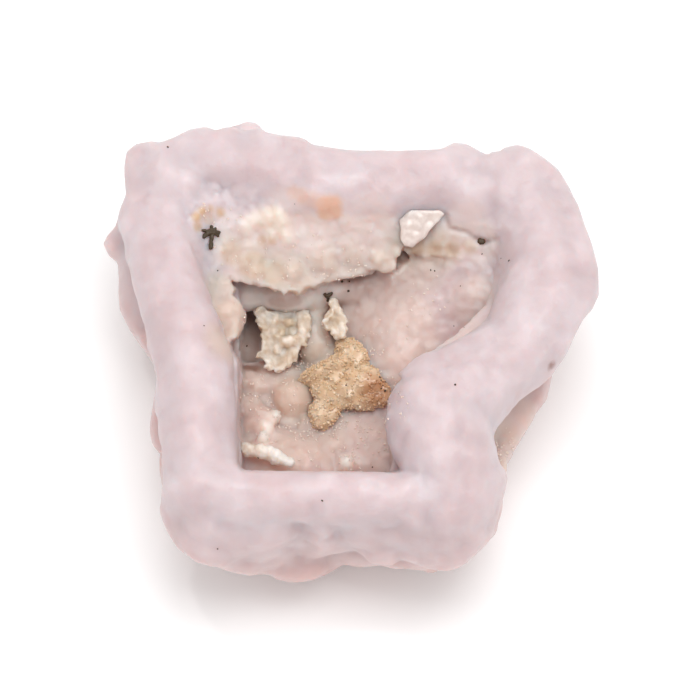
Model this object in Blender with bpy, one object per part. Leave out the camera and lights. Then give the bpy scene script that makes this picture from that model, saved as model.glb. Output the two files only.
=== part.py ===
"""A pink chalcedony specimen: a rope-like rim of fused rolls round a hollow, with its crystals.

The stone is one body. The druse crust, the pale crystal and the dark mineral grains are pieces of their own.
"""

import math

import bmesh
import bpy
from mathutils import Matrix, Vector, bvhtree, noise

# Every shape below is worked out in millimetres, and MM turns it into metres at the end.
MM = 0.001

# The face of the specimen is measured as it is seen from SIGHT above the horizon. A spot is given as
# (across, up, height): millimetres to the right and up in that view, and the real height above the base.
SIGHT = math.radians(62)
FACE_HEIGHT = 16.0

# A distance that is further than anything of the stone.
FAR = 1000.0

STONE_VOXEL = 0.6
STONE_TRIANGLES = 7400
GAP = 0.45

# The space that the stone is worked out in, low and high corner.
STONE_ROOM = ((-34.0, -35.0, -3.0), (34.0, 33.0, 33.0))


def spot(across, up, height):
    """The place of a spot of the face in the stone's own frame."""
    away = (up - (height - FACE_HEIGHT) * math.cos(SIGHT)) / math.sin(SIGHT)
    return Vector((across, away, height))


def smooth_run(points, steps=3):
    """More (place, radius) points, on the smooth curve through the given ones."""
    run = []
    for at in range(len(points) - 1):
        four = [points[min(max(at + shift, 0), len(points) - 1)] for shift in (-1, 0, 1, 2)]
        for step in range(steps):
            t = step / steps
            weights = (
                (-t + 2 * t**2 - t**3) / 2,
                (2 - 5 * t**2 + 3 * t**3) / 2,
                (t + 4 * t**2 - 3 * t**3) / 2,
                (-(t**2) + t**3) / 2,
            )
            place = sum((weight * point[0] for weight, point in zip(weights, four)), Vector())
            run.append((place, sum(weight * point[1] for weight, point in zip(weights, four))))
    return run + [points[-1]]


def add_node(tree, kind, links=None, **settings):
    """A new node with its settings, its inputs linked from sockets or set to values."""
    made = tree.nodes.new(kind)
    for name, value in settings.items():
        setattr(made, name, value)
    for name, value in (links or {}).items():
        if isinstance(value, bpy.types.NodeSocket):
            tree.links.new(value, made.inputs[name])
        else:
            made.inputs[name].default_value = value
    return made


def field_group(name, inputs):
    """An empty node group that takes the named values and vectors and gives one distance."""
    group = bpy.data.node_groups.new(name, "GeometryNodeTree")
    group.interface.new_socket("Distance", in_out="OUTPUT", socket_type="NodeSocketFloat")
    for label, kind in inputs.items():
        group.interface.new_socket(label, in_out="INPUT", socket_type=kind)
    return group, group.nodes.new("NodeGroupInput").outputs


def rope_piece():
    """Joins one straight length of round rope, of evenly changing thickness, to what is there."""
    kinds = {name: "NodeSocketVector" for name in ("Place", "Start", "Run", "Even run")}
    kinds |= {name: "NodeSocketFloat" for name in ("Radius", "Growth", "Other")}
    group, given = field_group("Rope piece", kinds)
    offset = add_node(group, "ShaderNodeVectorMath", {0: given["Place"], 1: given["Start"]}, operation="SUBTRACT")
    along = add_node(
        group, "ShaderNodeVectorMath", {0: offset.outputs[0], 1: given["Even run"]}, operation="DOT_PRODUCT"
    )
    along = add_node(group, "ShaderNodeClamp", {"Value": along.outputs["Value"]})
    nearest = add_node(
        group, "ShaderNodeVectorMath", {0: given["Run"], "Scale": along.outputs[0]}, operation="SCALE"
    )
    away = add_node(
        group, "ShaderNodeVectorMath", {0: offset.outputs[0], 1: nearest.outputs[0]}, operation="DISTANCE"
    )
    radius = add_node(
        group, "ShaderNodeMath", {0: along.outputs[0], 1: given["Growth"], 2: given["Radius"]},
        operation="MULTIPLY_ADD",
    )
    length = add_node(
        group, "ShaderNodeMath", {0: away.outputs["Value"], 1: radius.outputs[0]}, operation="SUBTRACT"
    )
    nearer = add_node(group, "ShaderNodeMath", {0: length.outputs[0], 1: given["Other"]}, operation="MINIMUM")
    add_node(group, "NodeGroupOutput", {0: nearer.outputs[0]})
    return group


def ball_piece():
    """Joins one ball softly to what is there."""
    kinds = {name: "NodeSocketVector" for name in ("Place", "Centre")}
    kinds |= {name: "NodeSocketFloat" for name in ("Radius", "Soft", "Other")}
    group, given = field_group("Ball piece", kinds)
    away = add_node(group, "ShaderNodeVectorMath", {0: given["Place"], 1: given["Centre"]}, operation="DISTANCE")
    length = add_node(
        group, "ShaderNodeMath", {0: away.outputs["Value"], 1: given["Radius"]}, operation="SUBTRACT"
    )
    joined = add_node(
        group, "ShaderNodeMath", {0: given["Other"], 1: length.outputs[0], 2: given["Soft"]},
        operation="SMOOTH_MIN",
    )
    add_node(group, "NodeGroupOutput", {0: joined.outputs[0]})
    return group


class Form:
    """A solid written as a distance, negative inside, by the nodes of one geometry node tree."""

    def __init__(self, name):
        self.tree = bpy.data.node_groups.new(name, "GeometryNodeTree")
        self.tree.interface.new_socket("Mesh", in_out="OUTPUT", socket_type="NodeSocketGeometry")
        self.place = self.add("GeometryNodeInputPosition").outputs[0]

    def add(self, kind, links=None, **settings):
        return add_node(self.tree, kind, links, **settings)

    def maths(self, operation, *values):
        return self.add("ShaderNodeMath", dict(enumerate(values)), operation=operation).outputs[0]

    def vector(self, operation, *values, out="Vector"):
        return self.add("ShaderNodeVectorMath", dict(enumerate(values)), operation=operation).outputs[out]

    def balls(self, form, balls, soft):
        """The form with round lumps of (place, radius) joined to it softly."""
        group = bpy.data.node_groups.get("Ball piece") or ball_piece()
        for centre, radius in balls:
            links = {"Place": self.place, "Centre": centre, "Radius": radius, "Soft": soft, "Other": form}
            form = self.add("GeometryNodeGroup", links, node_tree=group).outputs[0]
        return form

    def rope(self, points, form=FAR):
        """The form with a round rope on a smooth curve through (place, radius) points."""
        group = bpy.data.node_groups.get("Rope piece") or rope_piece()
        points = smooth_run(points)
        for (start, start_radius), (end, end_radius) in zip(points, points[1:]):
            run = end - start
            links = {
                "Place": self.place, "Start": start, "Run": run, "Even run": run / run.length_squared,
                "Radius": start_radius, "Growth": end_radius - start_radius, "Other": form,
            }
            form = self.add("GeometryNodeGroup", links, node_tree=group).outputs[0]
        return form

    def sheet(self, name, points, half):
        """A sheet with round edges, half thick each way, that fills the outline through the points."""
        mesh = bpy.data.meshes.new(name)
        outline = bmesh.new()
        outline.faces.new([outline.verts.new(point * MM) for point in points])
        bmesh.ops.triangulate(outline, faces=outline.faces)
        outline.to_mesh(mesh)
        outline.free()
        guide = bpy.data.objects.new(name, mesh)
        guide.hide_render = True
        guide.display_type = "WIRE"
        bpy.data.collections["Guides"].objects.link(guide)
        seen = self.add("GeometryNodeObjectInfo", {"Object": guide}).outputs["Geometry"]
        scale = (1 / MM, 1 / MM, 1 / MM)
        sized = self.add("GeometryNodeTransform", {"Geometry": seen, "Scale": scale}).outputs[0]
        near = self.add("GeometryNodeProximity", {0: sized, "Sample Position": self.place})
        return self.maths("SUBTRACT", near.outputs["Distance"], half)

    def prism(self, corners, floor, soft=0.8):
        """The upright space inside a convex outline, anticlockwise from above, down to its floor."""
        whole = self.maths("SUBTRACT", floor, self.add("ShaderNodeSeparateXYZ", {0: self.place}).outputs[2])
        for start, end in zip(corners, corners[1:] + corners[:1]):
            outward = Vector((end[1] - start[1], start[0] - end[0], 0)).normalized()
            reach = outward.dot(Vector((start[0], start[1], 0)))
            side = self.maths("SUBTRACT", self.vector("DOT_PRODUCT", self.place, outward, out="Value"), reach)
            whole = self.maths("SMOOTH_MAX", whole, side, soft)
        return whole

    def join(self, first, second, soft):
        return self.maths("SMOOTH_MIN", first, second, soft)

    def carve(self, solid, hollow, soft):
        return self.maths("SMOOTH_MAX", solid, self.maths("MULTIPLY", hollow, -1.0), soft)

    def facets(self, centre, faces):
        """A block with flat faces, each (direction, reach from the centre)."""
        offset = self.vector("SUBTRACT", self.place, centre)
        whole = -FAR
        for direction, reach in faces:
            along = self.vector("DOT_PRODUCT", offset, Vector(direction).normalized(), out="Value")
            whole = self.maths("MAXIMUM", whole, self.maths("SUBTRACT", along, reach))
        return whole

    def clear_of(self, form, other, gap):
        """The form without what is inside the other one or nearer to it than the gap."""
        return self.maths("MAXIMUM", form, self.maths("SUBTRACT", gap, other))

    def roughen(self, form, size, depth):
        """Lumps about size across that rise and sink by up to about depth."""
        noise = self.add(
            "ShaderNodeTexNoise",
            {"Vector": self.place, "Scale": 1.0 / size, "Detail": 2.0, "Roughness": 0.5},
            noise_dimensions="3D",
        ).outputs[0]
        lift = self.maths("MULTIPLY_ADD", noise, -4.0 * depth, 2.0 * depth)
        return self.maths("ADD", form, lift)

    def swell(self, form, size, depth):
        """Round swellings about size across, with creases between them."""
        cells = self.add(
            "ShaderNodeTexVoronoi",
            {"Vector": self.place, "Scale": 1.0 / size, "Smoothness": 0.25},
            feature="SMOOTH_F1",
        ).outputs["Distance"]
        return self.maths("ADD", form, self.maths("MULTIPLY_ADD", cells, 2.0 * depth, -depth))

    def finish(self, name, form, room, voxel):
        """An object whose surface lies where the distance is nought."""
        low, high = room
        density = self.maths("MULTIPLY", form, -1.0)
        steps = {
            f"Resolution {axis}": round((high[i] - low[i]) / voxel) + 1 for i, axis in enumerate("XYZ")
        }
        cube = self.add(
            "GeometryNodeVolumeCube",
            {"Density": density, "Background": -1.0, "Min": low, "Max": high, **steps},
        )
        skin = self.add("GeometryNodeVolumeToMesh", {"Volume": cube.outputs[0], "Threshold": 0.0})
        scaled = self.add("GeometryNodeTransform", {"Geometry": skin.outputs[0], "Scale": (MM, MM, MM)})
        self.tree.links.new(scaled.outputs[0], self.add("NodeGroupOutput").inputs[0])
        made = bpy.data.objects.new(name, bpy.data.meshes.new(name))
        made.modifiers.new("Form", "NODES").node_group = self.tree
        return made


# The rolls of the rim, each a rope of (across, up, height, radius).
ROLLS = {
    "left": (
        (-24.7, 20.0, 22.0, 3.9), (-24.2, 15.6, 23.0, 4.5), (-23.2, 10.6, 24.0, 4.5), (-21.8, 5.0, 24.5, 4.5),
        (-19.6, -0.6, 24.5, 4.8), (-18.8, -6.2, 24.0, 4.9), (-18.4, -11.2, 23.5, 4.9), (-17.3, -16.9, 22.5, 4.8),
    ),
    "back_left": (
        (-24.8, 22.5, 22.0, 3.4), (-20.0, 23.4, 23.0, 4.2), (-14.4, 23.1, 24.0, 4.5), (-8.1, 21.9, 24.5, 4.7),
        (-2.5, 20.0, 24.5, 5.0),
    ),
    "back_right": (
        (0.0, 20.2, 24.5, 4.6), (5.6, 20.2, 24.5, 4.7), (11.2, 20.5, 24.0, 4.7), (16.9, 19.2, 23.5, 5.2),
        (21.2, 19.4, 23.0, 5.6),
    ),
    "right": (
        (21.9, 18.1, 23.0, 5.7), (24.4, 12.5, 23.5, 5.9), (24.5, 7.5, 24.0, 6.0), (21.9, 1.5, 24.0, 5.5),
        (18.5, -2.1, 24.0, 5.4), (14.7, -4.7, 24.0, 6.0), (11.2, -7.7, 23.5, 6.7), (11.2, -11.9, 23.0, 6.2),
    ),
    "lobe": ((11.2, -11.9, 23.0, 6.0), (13.1, -16.9, 22.0, 5.7), (12.0, -21.0, 18.0, 5.7)),
    "front": (
        (-15.0, -17.7, 23.0, 3.5), (-7.5, -18.2, 24.0, 3.4), (-0.6, -18.2, 24.0, 3.4), (6.2, -18.5, 23.5, 3.6),
        (11.2, -18.7, 22.5, 4.4),
    ),
    "front_wall": (
        (-14.0, -19.5, 18.0, 4.8), (-7.5, -19.8, 18.5, 4.4), (-0.6, -19.8, 18.5, 4.4), (6.2, -19.8, 18.0, 4.5),
        (11.2, -19.0, 18.0, 5.0),
    ),
}

# Round lumps of the sides, each (across, up, height, radius).
SIDE_LUMPS = (
    (-28.9, 13.1, 17.0, 2.0),
    (-23.7, 16.2, 18.0, 5.4), (-23.1, 10.6, 15.0, 6.0), (-23.1, 7.5, 15.0, 6.0), (-21.9, 4.4, 14.0, 6.0),
    (-19.4, -6.2, 16.0, 5.0), (-20.0, -9.4, 15.0, 4.7), (-18.7, -15.0, 15.0, 4.7),
    (-17.9, -20.4, 17.0, 5.4), (-13.7, -23.1, 14.0, 4.6), (-6.2, -25.2, 9.0, 3.5), (-9.0, -24.6, 10.0, 3.6),
    (21.2, 2.5, 16.0, 6.5), (18.7, -3.1, 13.0, 6.2), (16.2, -7.5, 13.0, 6.2), (13.7, -15.0, 13.0, 5.7),
    (14.0, -19.6, 15.0, 4.6), (11.2, -22.3, 14.0, 4.8), (4.0, -23.2, 12.0, 3.5), (0.5, -23.6, 12.0, 3.0),
    (-16.0, -20.5, 19.0, 5.6), (-11.0, -22.0, 15.5, 5.0), (-3.5, -21.4, 16.5, 4.4), (3.5, -21.2, 16.5, 4.4), (9.5, -20.5, 18.0, 5.4), (13.0, -17.5, 18.5, 5.4),
    (-12.9, 26.0, 21.0, 2.4), (-18.1, 23.7, 20.0, 4.1), (-6.2, 22.2, 20.0, 4.4),
    (13.5, 22.0, 21.0, 4.0), (20.0, 22.3, 21.0, 3.4), (20.4, 19.0, 19.0, 5.2), (24.4, 8.1, 19.0, 6.4),
)

# The thick of the stone below the rim: a sheet with this plan, MASS_HALF thick each way, at MASS_HEIGHT.
MASS_PLAN = (
    (-11.0, -15.3), (5.5, -15.3), (8.0, -9.0), (12.0, 0.5), (16.5, 8.0), (16.8, 13.5), (11.5, 15.5),
    (-8.0, 16.0), (-14.5, 15.0), (-16.0, 11.5), (-12.2, -1.0), (-12.6, -9.0),
)
MASS_HEIGHT = 10.4
MASS_HALF = 11.5
MASS_SWELLINGS = (7.0, 1.1)

# The hollow: an upright pocket, and a room to the right of it, each with its plan and the height of its floor.
POCKET = ((-13.7, -21.5), (4.5, -21.5), (6.5, -3.0), (6.5, 14.0), (-13.7, 14.0))
POCKET_FLOOR = 9.5
SIDE_ROOM = ((4.0, -8.0), (8.0, -6.0), (18.0, 5.0), (20.5, 12.5), (4.0, 13.5))
SIDE_ROOM_FLOOR = 12.0

# The deep hole in the floor, each (across, up, height, radius).
DEEP_HOLE = ((-12.4, 2.4, 13.0, 1.1), (-12.3, 0.6, 10.5, 1.4), (-12.0, -1.0, 8.0, 1.6))

# The lumps of the hollow's lining, each (across, up, height, radius).
LINING_LUMPS = (
    (9.4, 2.8, 8.5, 9.2), (15.6, 7.2, 12.0, 8.5), (3.8, 2.5, 8.5, 6.8), (6.4, -2.2, 10.0, 5.4),
    (19.0, 9.8, 15.5, 6.8), (12.0, 10.0, 10.0, 7.7), (20.0, 13.5, 18.5, 4.8), (5.0, 8.0, 9.5, 6.0),
    (-10.0, -4.4, 7.0, 4.5), (-7.2, -6.9, 7.5, 4.5), (-12.5, -8.5, 8.5, 3.2), (-0.6, -12.5, 6.0, 6.0),
    (2.7, -10.9, 7.5, 3.8), (-0.6, -4.4, 8.5, 5.2), (-3.5, -8.0, 9.5, 2.6), (3.5, -4.7, 9.5, 3.4),
    (-10.0, -14.5, 7.5, 5.0), (-5.0, -15.5, 7.0, 5.0), (4.0, -15.0, 7.5, 4.5),
)

# The ledge that runs out from the back roll over the pocket, as (across, up, height), and its thicker root.
LEDGE_HALF = 0.7
LEDGE = (
    (-20.5, 18.5, 23.5), (-19.5, 14.0, 22.0), (-17.0, 10.2, 21.0), (-14.3, 9.4, 20.6), (-12.4, 8.9, 20.4),
    (-9.8, 8.4, 20.2), (-8.3, 7.8, 20.0), (-7.3, 8.2, 20.0), (-6.1, 8.0, 20.0), (-4.8, 8.8, 20.0),
    (-2.3, 9.4, 20.1), (0.0, 9.8, 20.2), (2.4, 10.4, 20.4), (4.6, 10.4, 20.8), (5.3, 11.5, 21.0),
    (5.5, 13.0, 21.6), (6.5, 18.0, 23.5), (-2.0, 19.0, 24.5), (-10.0, 20.0, 24.0), (-18.0, 21.0, 23.5),
)
LEDGE_ROOT = (
    (-15.0, 13.0, 20.5, 2.2), (-10.5, 12.0, 20.0, 2.2), (-6.0, 12.0, 20.0, 2.3), (-1.0, 13.0, 20.5, 2.4),
    (4.0, 14.0, 21.0, 2.2),
)

# The small ledge on the pocket's left wall.
LEFT_LEDGE_HALF = 0.6
LEFT_LEDGE = (
    (-17.5, 10.0, 22.5), (-15.3, 8.6, 21.0), (-15.4, 7.0, 20.6), (-14.4, 5.6, 20.3), (-13.7, 4.0, 20.0),
    (-13.9, 2.6, 20.0), (-14.6, 1.6, 20.0), (-15.6, 0.8, 20.0), (-18.0, 0.0, 21.0),
)

# The thin shelf under the pale crystal.
SHELF_HALF = 0.8
SHELF = (
    (4.5, 17.0, 23.5), (5.5, 13.4, 21.4), (8.5, 12.9, 21.0), (12.0, 13.0, 21.0), (16.0, 13.1, 21.4),
    (20.0, 13.8, 22.0), (21.0, 17.5, 24.0),
)
SHELF_ROOT = ((8.5, 16.0, 20.5, 2.4), (12.5, 16.2, 20.8, 2.8), (16.5, 16.2, 21.2, 3.0), (19.5, 16.0, 21.5, 3.2))

# The two lace plates that stand in the pocket, and what carries each.
LACE_HALF = 0.55
LACE_LARGE = (
    (-11.6, 4.2, 14.0), (-10.7, 4.9, 14.6), (-9.2, 4.6, 14.4), (-7.6, 4.4, 14.0), (-6.4, 5.2, 14.5),
    (-5.4, 5.3, 14.4), (-5.7, 3.6, 14.0), (-5.6, 1.6, 13.6), (-6.9, 0.9, 13.0), (-7.2, -1.4, 11.8),
    (-8.6, -2.3, 11.0), (-9.7, -1.2, 11.8), (-11.3, -0.9, 12.6), (-10.7, 0.8, 13.4), (-10.6, 2.3, 13.6),
)
LACE_SMALL = (
    (-2.0, 6.2, 15.5), (-1.3, 4.5, 15.0), (-1.0, 2.9, 14.2), (-1.2, 2.0, 13.6), (-2.6, 2.8, 14.0),
    (-3.0, 3.8, 14.6), (-3.4, 6.4, 15.6),
)
LACE_STEMS = (
    ((-8.2, 1.2, 9.0, 2.6), (-8.3, 2.0, 12.6, 1.8)),
    ((-1.6, 3.2, 9.0, 1.8), (-1.8, 3.9, 13.2, 0.9)),
    ((-4.0, 8.5, 18.0, 1.6), (-3.8, 6.4, 15.0, 1.6), (-4.0, 4.2, 12.6, 1.9), (-4.4, 1.9, 11.0, 2.6)),
)

# The worm-like ridge along the front of the floor, the upright ridge behind it, and the lump on the ledge.
WORM = ((-12.6, -12.2, 12.6, 1.0), (-11.0, -12.6, 12.7, 1.3), (-9.2, -13.0, 12.7, 1.2), (-7.4, -14.0, 12.4, 0.9))
RIDGE = ((-10.4, -7.9, 12.2, 0.6), (-9.8, -9.4, 12.4, 0.8), (-10.3, -11.0, 12.4, 0.8))
CREAM_LUMP = ((-10.4, 16.2, 24.0, 1.0), (-9.6, 15.4, 24.0, 1.1), (-8.6, 14.9, 23.6, 0.9), (-8.1, 14.2, 23.4, 0.7))

# Size and depth of the stone's gentle unevenness, and of its fine grain.
UNEVENNESS = (10.0, 0.4)
GRAIN = (2.5, 0.12)

# The base is cut flat at this height, where the stone rests.
BASE_HEIGHT = 0.0
BASE_CUTTER = 0.1

# The druse crust on the floor of the pocket: its lumps, the room it is worked out in, and its crystal points.
DRUSE_LUMPS = (
    (-0.6, -0.2, 13.8, 1.9), (0.6, -1.9, 13.6, 2.3), (-1.2, -2.8, 13.4, 2.6), (-3.5, -3.4, 13.0, 2.0),
    (-5.2, -3.4, 12.6, 1.3), (2.5, -4.4, 13.2, 2.2), (3.7, -5.4, 13.2, 1.6), (0.0, -5.2, 13.0, 2.4),
    (-2.8, -6.0, 12.8, 2.0), (-3.5, -8.1, 12.2, 1.8), (-2.5, -7.5, 12.4, 1.5), (1.9, -6.5, 12.6, 1.5),
)
DRUSE_ROOM = ((-8.0, -11.0, 7.0), (7.5, 8.0, 19.0))
DRUSE_TRIANGLES = 900
POINTS_PER_LUMP = 3
POINT_SIDES = 6
POINT_WIDTH = (0.9, 1.5)
POINT_LENGTH = (1.8, 2.8)
POINT_LEAN = 0.7
POINT_SUNK = 0.55

# The pale crystal on the shelf: its centre, and its faces, each (direction, reach from the centre).
PALE_CENTRE = (8.75, 15.6, 24.0)
PALE_FACES = (
    ((-1.0, 0.1, 0.25), 2.4), ((0.0, 1.0, 0.2), 2.0), ((0.7, -0.7, 0.2), 2.1), ((-0.6, -0.75, 0.25), 2.2),
    ((1.0, 0.3, 0.2), 3.1), ((0.05, -0.25, 1.0), 1.6), ((-0.5, -0.2, 0.85), 1.7), ((0.6, 0.25, 0.75), 1.9),
    ((0.1, -0.8, 0.6), 1.9), ((0.0, 0.0, -1.0), 2.5),
)
PALE_ROOM = ((4.5, 7.0, 19.0), (13.5, 16.0, 28.0))
PALE_TRIANGLES = 260

# The dark mineral grains, as strokes of (across, up, radius) that lie on the stone.
DARK_GRAINS = {
    "dark_twig": (
        ((-18.2, 14.3, 0.55), (-16.6, 14.6, 0.55)),
        ((-17.3, 15.1, 0.4), (-17.3, 14.0, 0.5), (-17.4, 12.8, 0.5)),
    ),
    "dark_shard": (((-3.3, 6.9, 0.4), (-2.5, 6.9, 0.4), (-2.9, 6.3, 0.4)),),
    "dark_bead": (((16.4, 13.7, 0.5), (16.6, 13.5, 0.5)),),
}
GRAIN_MARGIN = 1.6
GRAIN_TRIANGLES = 90

# Cell size that the small pieces are worked out with.
FINE_VOXEL = 0.2

# Colour and roughness of each piece's surface.
FINISHES = {
    "Pink chalcedony": ("#e2cdd0", 0.5),
    "Tan quartz druse": ("#c8a587", 0.35),
    "Pale crystal": ("#eee0d2", 0.3),
    "Dark mineral": ("#2a211a", 0.6),
}


def spots(points):
    """Places of spots, or (place, radius) pairs where a radius follows each."""
    if len(points[0]) == 3:
        return [spot(*point) for point in points]
    return [(spot(*point[:3]), point[3]) for point in points]


def stone_form(form):
    """The whole of the chalcedony, as a distance."""
    plan = [Vector((x, y, MASS_HEIGHT)) for x, y in MASS_PLAN]
    mass = form.sheet("mass_plan", plan, MASS_HALF)
    mass = form.balls(mass, spots(SIDE_LUMPS), 2.5)
    mass = form.swell(mass, *MASS_SWELLINGS)
    hollow = form.join(
        form.prism(list(POCKET), POCKET_FLOOR, 2.0), form.prism(list(SIDE_ROOM), SIDE_ROOM_FLOOR, 2.0), 2.0
    )
    mass = form.carve(mass, hollow, 1.5)
    mass = form.balls(mass, spots(LINING_LUMPS), 3.0)
    mass = form.carve(mass, form.rope(spots(DEEP_HOLE)), 0.8)
    rim = None
    for points in ROLLS.values():
        roll = form.rope(spots(points))
        rim = roll if rim is None else form.join(rim, roll, 1.6)
    stone = form.join(mass, rim, 2.4)
    ledge = form.sheet("ledge_outline", spots(LEDGE), LEDGE_HALF)
    ledge = form.balls(ledge, spots(LEDGE_ROOT), 2.5)
    stone = form.join(stone, ledge, 2.0)
    stone = form.join(stone, form.sheet("left_ledge_outline", spots(LEFT_LEDGE), LEFT_LEDGE_HALF), 1.2)
    shelf = form.balls(form.sheet("shelf_outline", spots(SHELF), SHELF_HALF), spots(SHELF_ROOT), 2.5)
    stone = form.join(stone, shelf, 2.0)
    stone = form.roughen(stone, *UNEVENNESS)
    lace = form.join(
        form.sheet("large_lace_outline", spots(LACE_LARGE), LACE_HALF),
        form.sheet("small_lace_outline", spots(LACE_SMALL), LACE_HALF),
        0.5,
    )
    for stem in LACE_STEMS:
        lace = form.join(lace, form.rope(spots(stem)), 0.8)
    for ridge in (WORM, RIDGE):
        lace = form.join(lace, form.rope(spots(ridge)), 0.5)
    lace = form.balls(lace, spots(CREAM_LUMP), 0.5)
    stone = form.join(stone, lace, 0.8)
    return form.roughen(stone, *GRAIN)


def finish_material(name):
    """The named finish as a Principled material."""
    made = bpy.data.materials.get(name)
    if made is None:
        colour, roughness = FINISHES[name]
        parts = [int(colour[at:at + 2], 16) / 255 for at in (1, 3, 5)]
        parts = [part / 12.92 if part < 0.04045 else ((part + 0.055) / 1.055) ** 2.4 for part in parts]
        made = bpy.data.materials.new(name)
        made.use_nodes = True
        surface = made.node_tree.nodes["Principled BSDF"]
        surface.inputs["Base Color"].default_value = (*parts, 1.0)
        surface.inputs["Roughness"].default_value = roughness
        surface.inputs["Metallic"].default_value = 0.0
    return made


def as_mesh(made):
    """Turns an object's modifiers into its plain mesh."""
    seen = made.evaluated_get(bpy.context.evaluated_depsgraph_get())
    mesh = bpy.data.meshes.new_from_object(seen)
    made.modifiers.clear()
    made.data = mesh
    return made


def largest_shell(mesh):
    """Keeps the mesh's largest closed shell, without bubbles and crumbs."""
    shells = bmesh.new()
    shells.from_mesh(mesh)
    unseen = set(shells.verts)
    found = []
    while unseen:
        edge = [unseen.pop()]
        shell = set(edge)
        while edge:
            for link in edge.pop().link_edges:
                for corner in link.verts:
                    if corner in unseen:
                        unseen.remove(corner)
                        shell.add(corner)
                        edge.append(corner)
        found.append(shell)
    keep = max(found, key=len)
    bmesh.ops.delete(shells, geom=[corner for corner in shells.verts if corner not in keep], context="VERTS")
    shells.to_mesh(mesh)
    shells.free()


def faceted(name, form, room, voxel, triangles, finish):
    """A piece of the specimen with about so many triangles, worked out in its room."""
    made = form.finish(name, form.result, room, voxel)
    bpy.data.collections["Chalcedony specimen"].objects.link(made)
    as_mesh(made)
    largest_shell(made.data)
    fewer = made.modifiers.new("Fewer faces", "DECIMATE")
    fewer.ratio = min(1.0, triangles / (2.0 * len(made.data.polygons)))
    as_mesh(made)
    made.data.materials.append(finish_material(finish))
    return made


def build_stone():
    form = Form("Stone")
    form.result = stone_form(form)
    stone = faceted("chalcedony_body", form, STONE_ROOM, STONE_VOXEL, STONE_TRIANGLES, "Pink chalcedony")
    stone.data.shade_smooth()
    bpy.ops.mesh.primitive_cube_add(size=BASE_CUTTER, location=(0, 0, BASE_HEIGHT - BASE_CUTTER / 2))
    cutter = bpy.context.object
    cutter.name = "base_cutter"
    cutter.hide_render = True
    cutter.display_type = "WIRE"
    for holder in list(cutter.users_collection):
        holder.objects.unlink(cutter)
    bpy.data.collections["Guides"].objects.link(cutter)
    flat = stone.modifiers.new("Flat base", "BOOLEAN")
    flat.operation = "DIFFERENCE"
    flat.solver = "EXACT"
    flat.object = cutter
    return stone


def crystal_point(into, place, direction, width, length):
    """A six-sided crystal point that stands on a place."""
    turn = direction.to_track_quat("Z", "Y").to_matrix().to_4x4()
    shaft = length / 2
    made = bmesh.ops.create_cone(
        into, cap_ends=True, segments=POINT_SIDES, radius1=width / 2, radius2=width / 2, depth=shaft,
        matrix=Matrix.Translation(place + direction * shaft / 2) @ turn,
    )
    faces = {face for corner in made["verts"] for face in corner.link_faces}
    top = max(faces, key=lambda face: (face.calc_center_median() - place).dot(direction))
    bmesh.ops.poke(into, faces=[top], offset=length - shaft)


def build_druse():
    """The tan crust on the pocket's floor, with its crystal points fused to it."""
    form = Form("Druse")
    crust = form.balls(FAR, spots(DRUSE_LUMPS), 1.2)
    form.result = form.clear_of(crust, stone_form(form), GAP)
    druse = faceted("druse_crust", form, DRUSE_ROOM, FINE_VOXEL, DRUSE_TRIANGLES, "Tan quartz druse")
    points = bmesh.new()
    for lump, (centre, radius) in enumerate(spots(DRUSE_LUMPS)):
        for at in range(POINTS_PER_LUMP):
            chance = [noise.cell(Vector((lump + 0.5, at + 0.5, axis + 0.5))) for axis in range(4)]
            lean = Vector((POINT_LEAN * (2 * chance[0] - 1), POINT_LEAN * (2 * chance[1] - 1), 1)).normalized()
            width = POINT_WIDTH[0] + (POINT_WIDTH[1] - POINT_WIDTH[0]) * chance[2]
            length = POINT_LENGTH[0] + (POINT_LENGTH[1] - POINT_LENGTH[0]) * chance[3]
            place = centre + lean * (radius - length * POINT_SUNK)
            crystal_point(points, place * MM, lean, width * MM, length * MM)
    mesh = bpy.data.meshes.new("crystal_points")
    points.to_mesh(mesh)
    points.free()
    guide = bpy.data.objects.new("crystal_points", mesh)
    guide.hide_render = True
    guide.display_type = "WIRE"
    bpy.data.collections["Guides"].objects.link(guide)
    fused = druse.modifiers.new("Crystal points", "BOOLEAN")
    fused.operation = "UNION"
    fused.solver = "EXACT"
    fused.use_self = True
    fused.object = guide
    return druse


def build_pale_crystal():
    form = Form("Pale crystal")
    block = form.facets(spot(*PALE_CENTRE), PALE_FACES)
    form.result = form.clear_of(block, stone_form(form), GAP)
    return faceted("pale_crystal", form, PALE_ROOM, FINE_VOXEL, PALE_TRIANGLES, "Pale crystal")


def build_dark_grains(stone):
    """The dark grains, each of strokes laid where the sight line meets the stone."""
    skin = bvhtree.BVHTree.FromObject(stone, bpy.context.evaluated_depsgraph_get())
    sight = Vector((0, math.cos(SIGHT), -math.sin(SIGHT)))
    for name, strokes in DARK_GRAINS.items():
        form = Form(name)
        grain = FAR
        corners = []
        for stroke in strokes:
            run = []
            for across, up, radius in stroke:
                start = spot(across, up, FACE_HEIGHT) * MM - sight
                place, facing = skin.ray_cast(start, sight)[:2]
                run.append((place / MM + facing * (GAP + radius), radius))
            grain = form.rope(run, grain)
            corners += [place for place, radius in run]
        form.result = form.clear_of(grain, stone_form(form), GAP)
        low = [min(corner[axis] for corner in corners) - GRAIN_MARGIN for axis in range(3)]
        high = [max(corner[axis] for corner in corners) + GRAIN_MARGIN for axis in range(3)]
        faceted(name, form, (low, high), FINE_VOXEL, GRAIN_TRIANGLES, "Dark mineral")


def main():
    for old in list(bpy.data.objects):
        bpy.data.objects.remove(old)
    for name in ("Chalcedony specimen", "Guides"):
        bpy.context.scene.collection.children.link(bpy.data.collections.new(name))
    stone = build_stone()
    build_druse()
    build_pale_crystal()
    build_dark_grains(stone)


main()
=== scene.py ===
import math

import bmesh
import bpy
import numpy as np
from mathutils import Matrix, Vector, bvhtree


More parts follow.
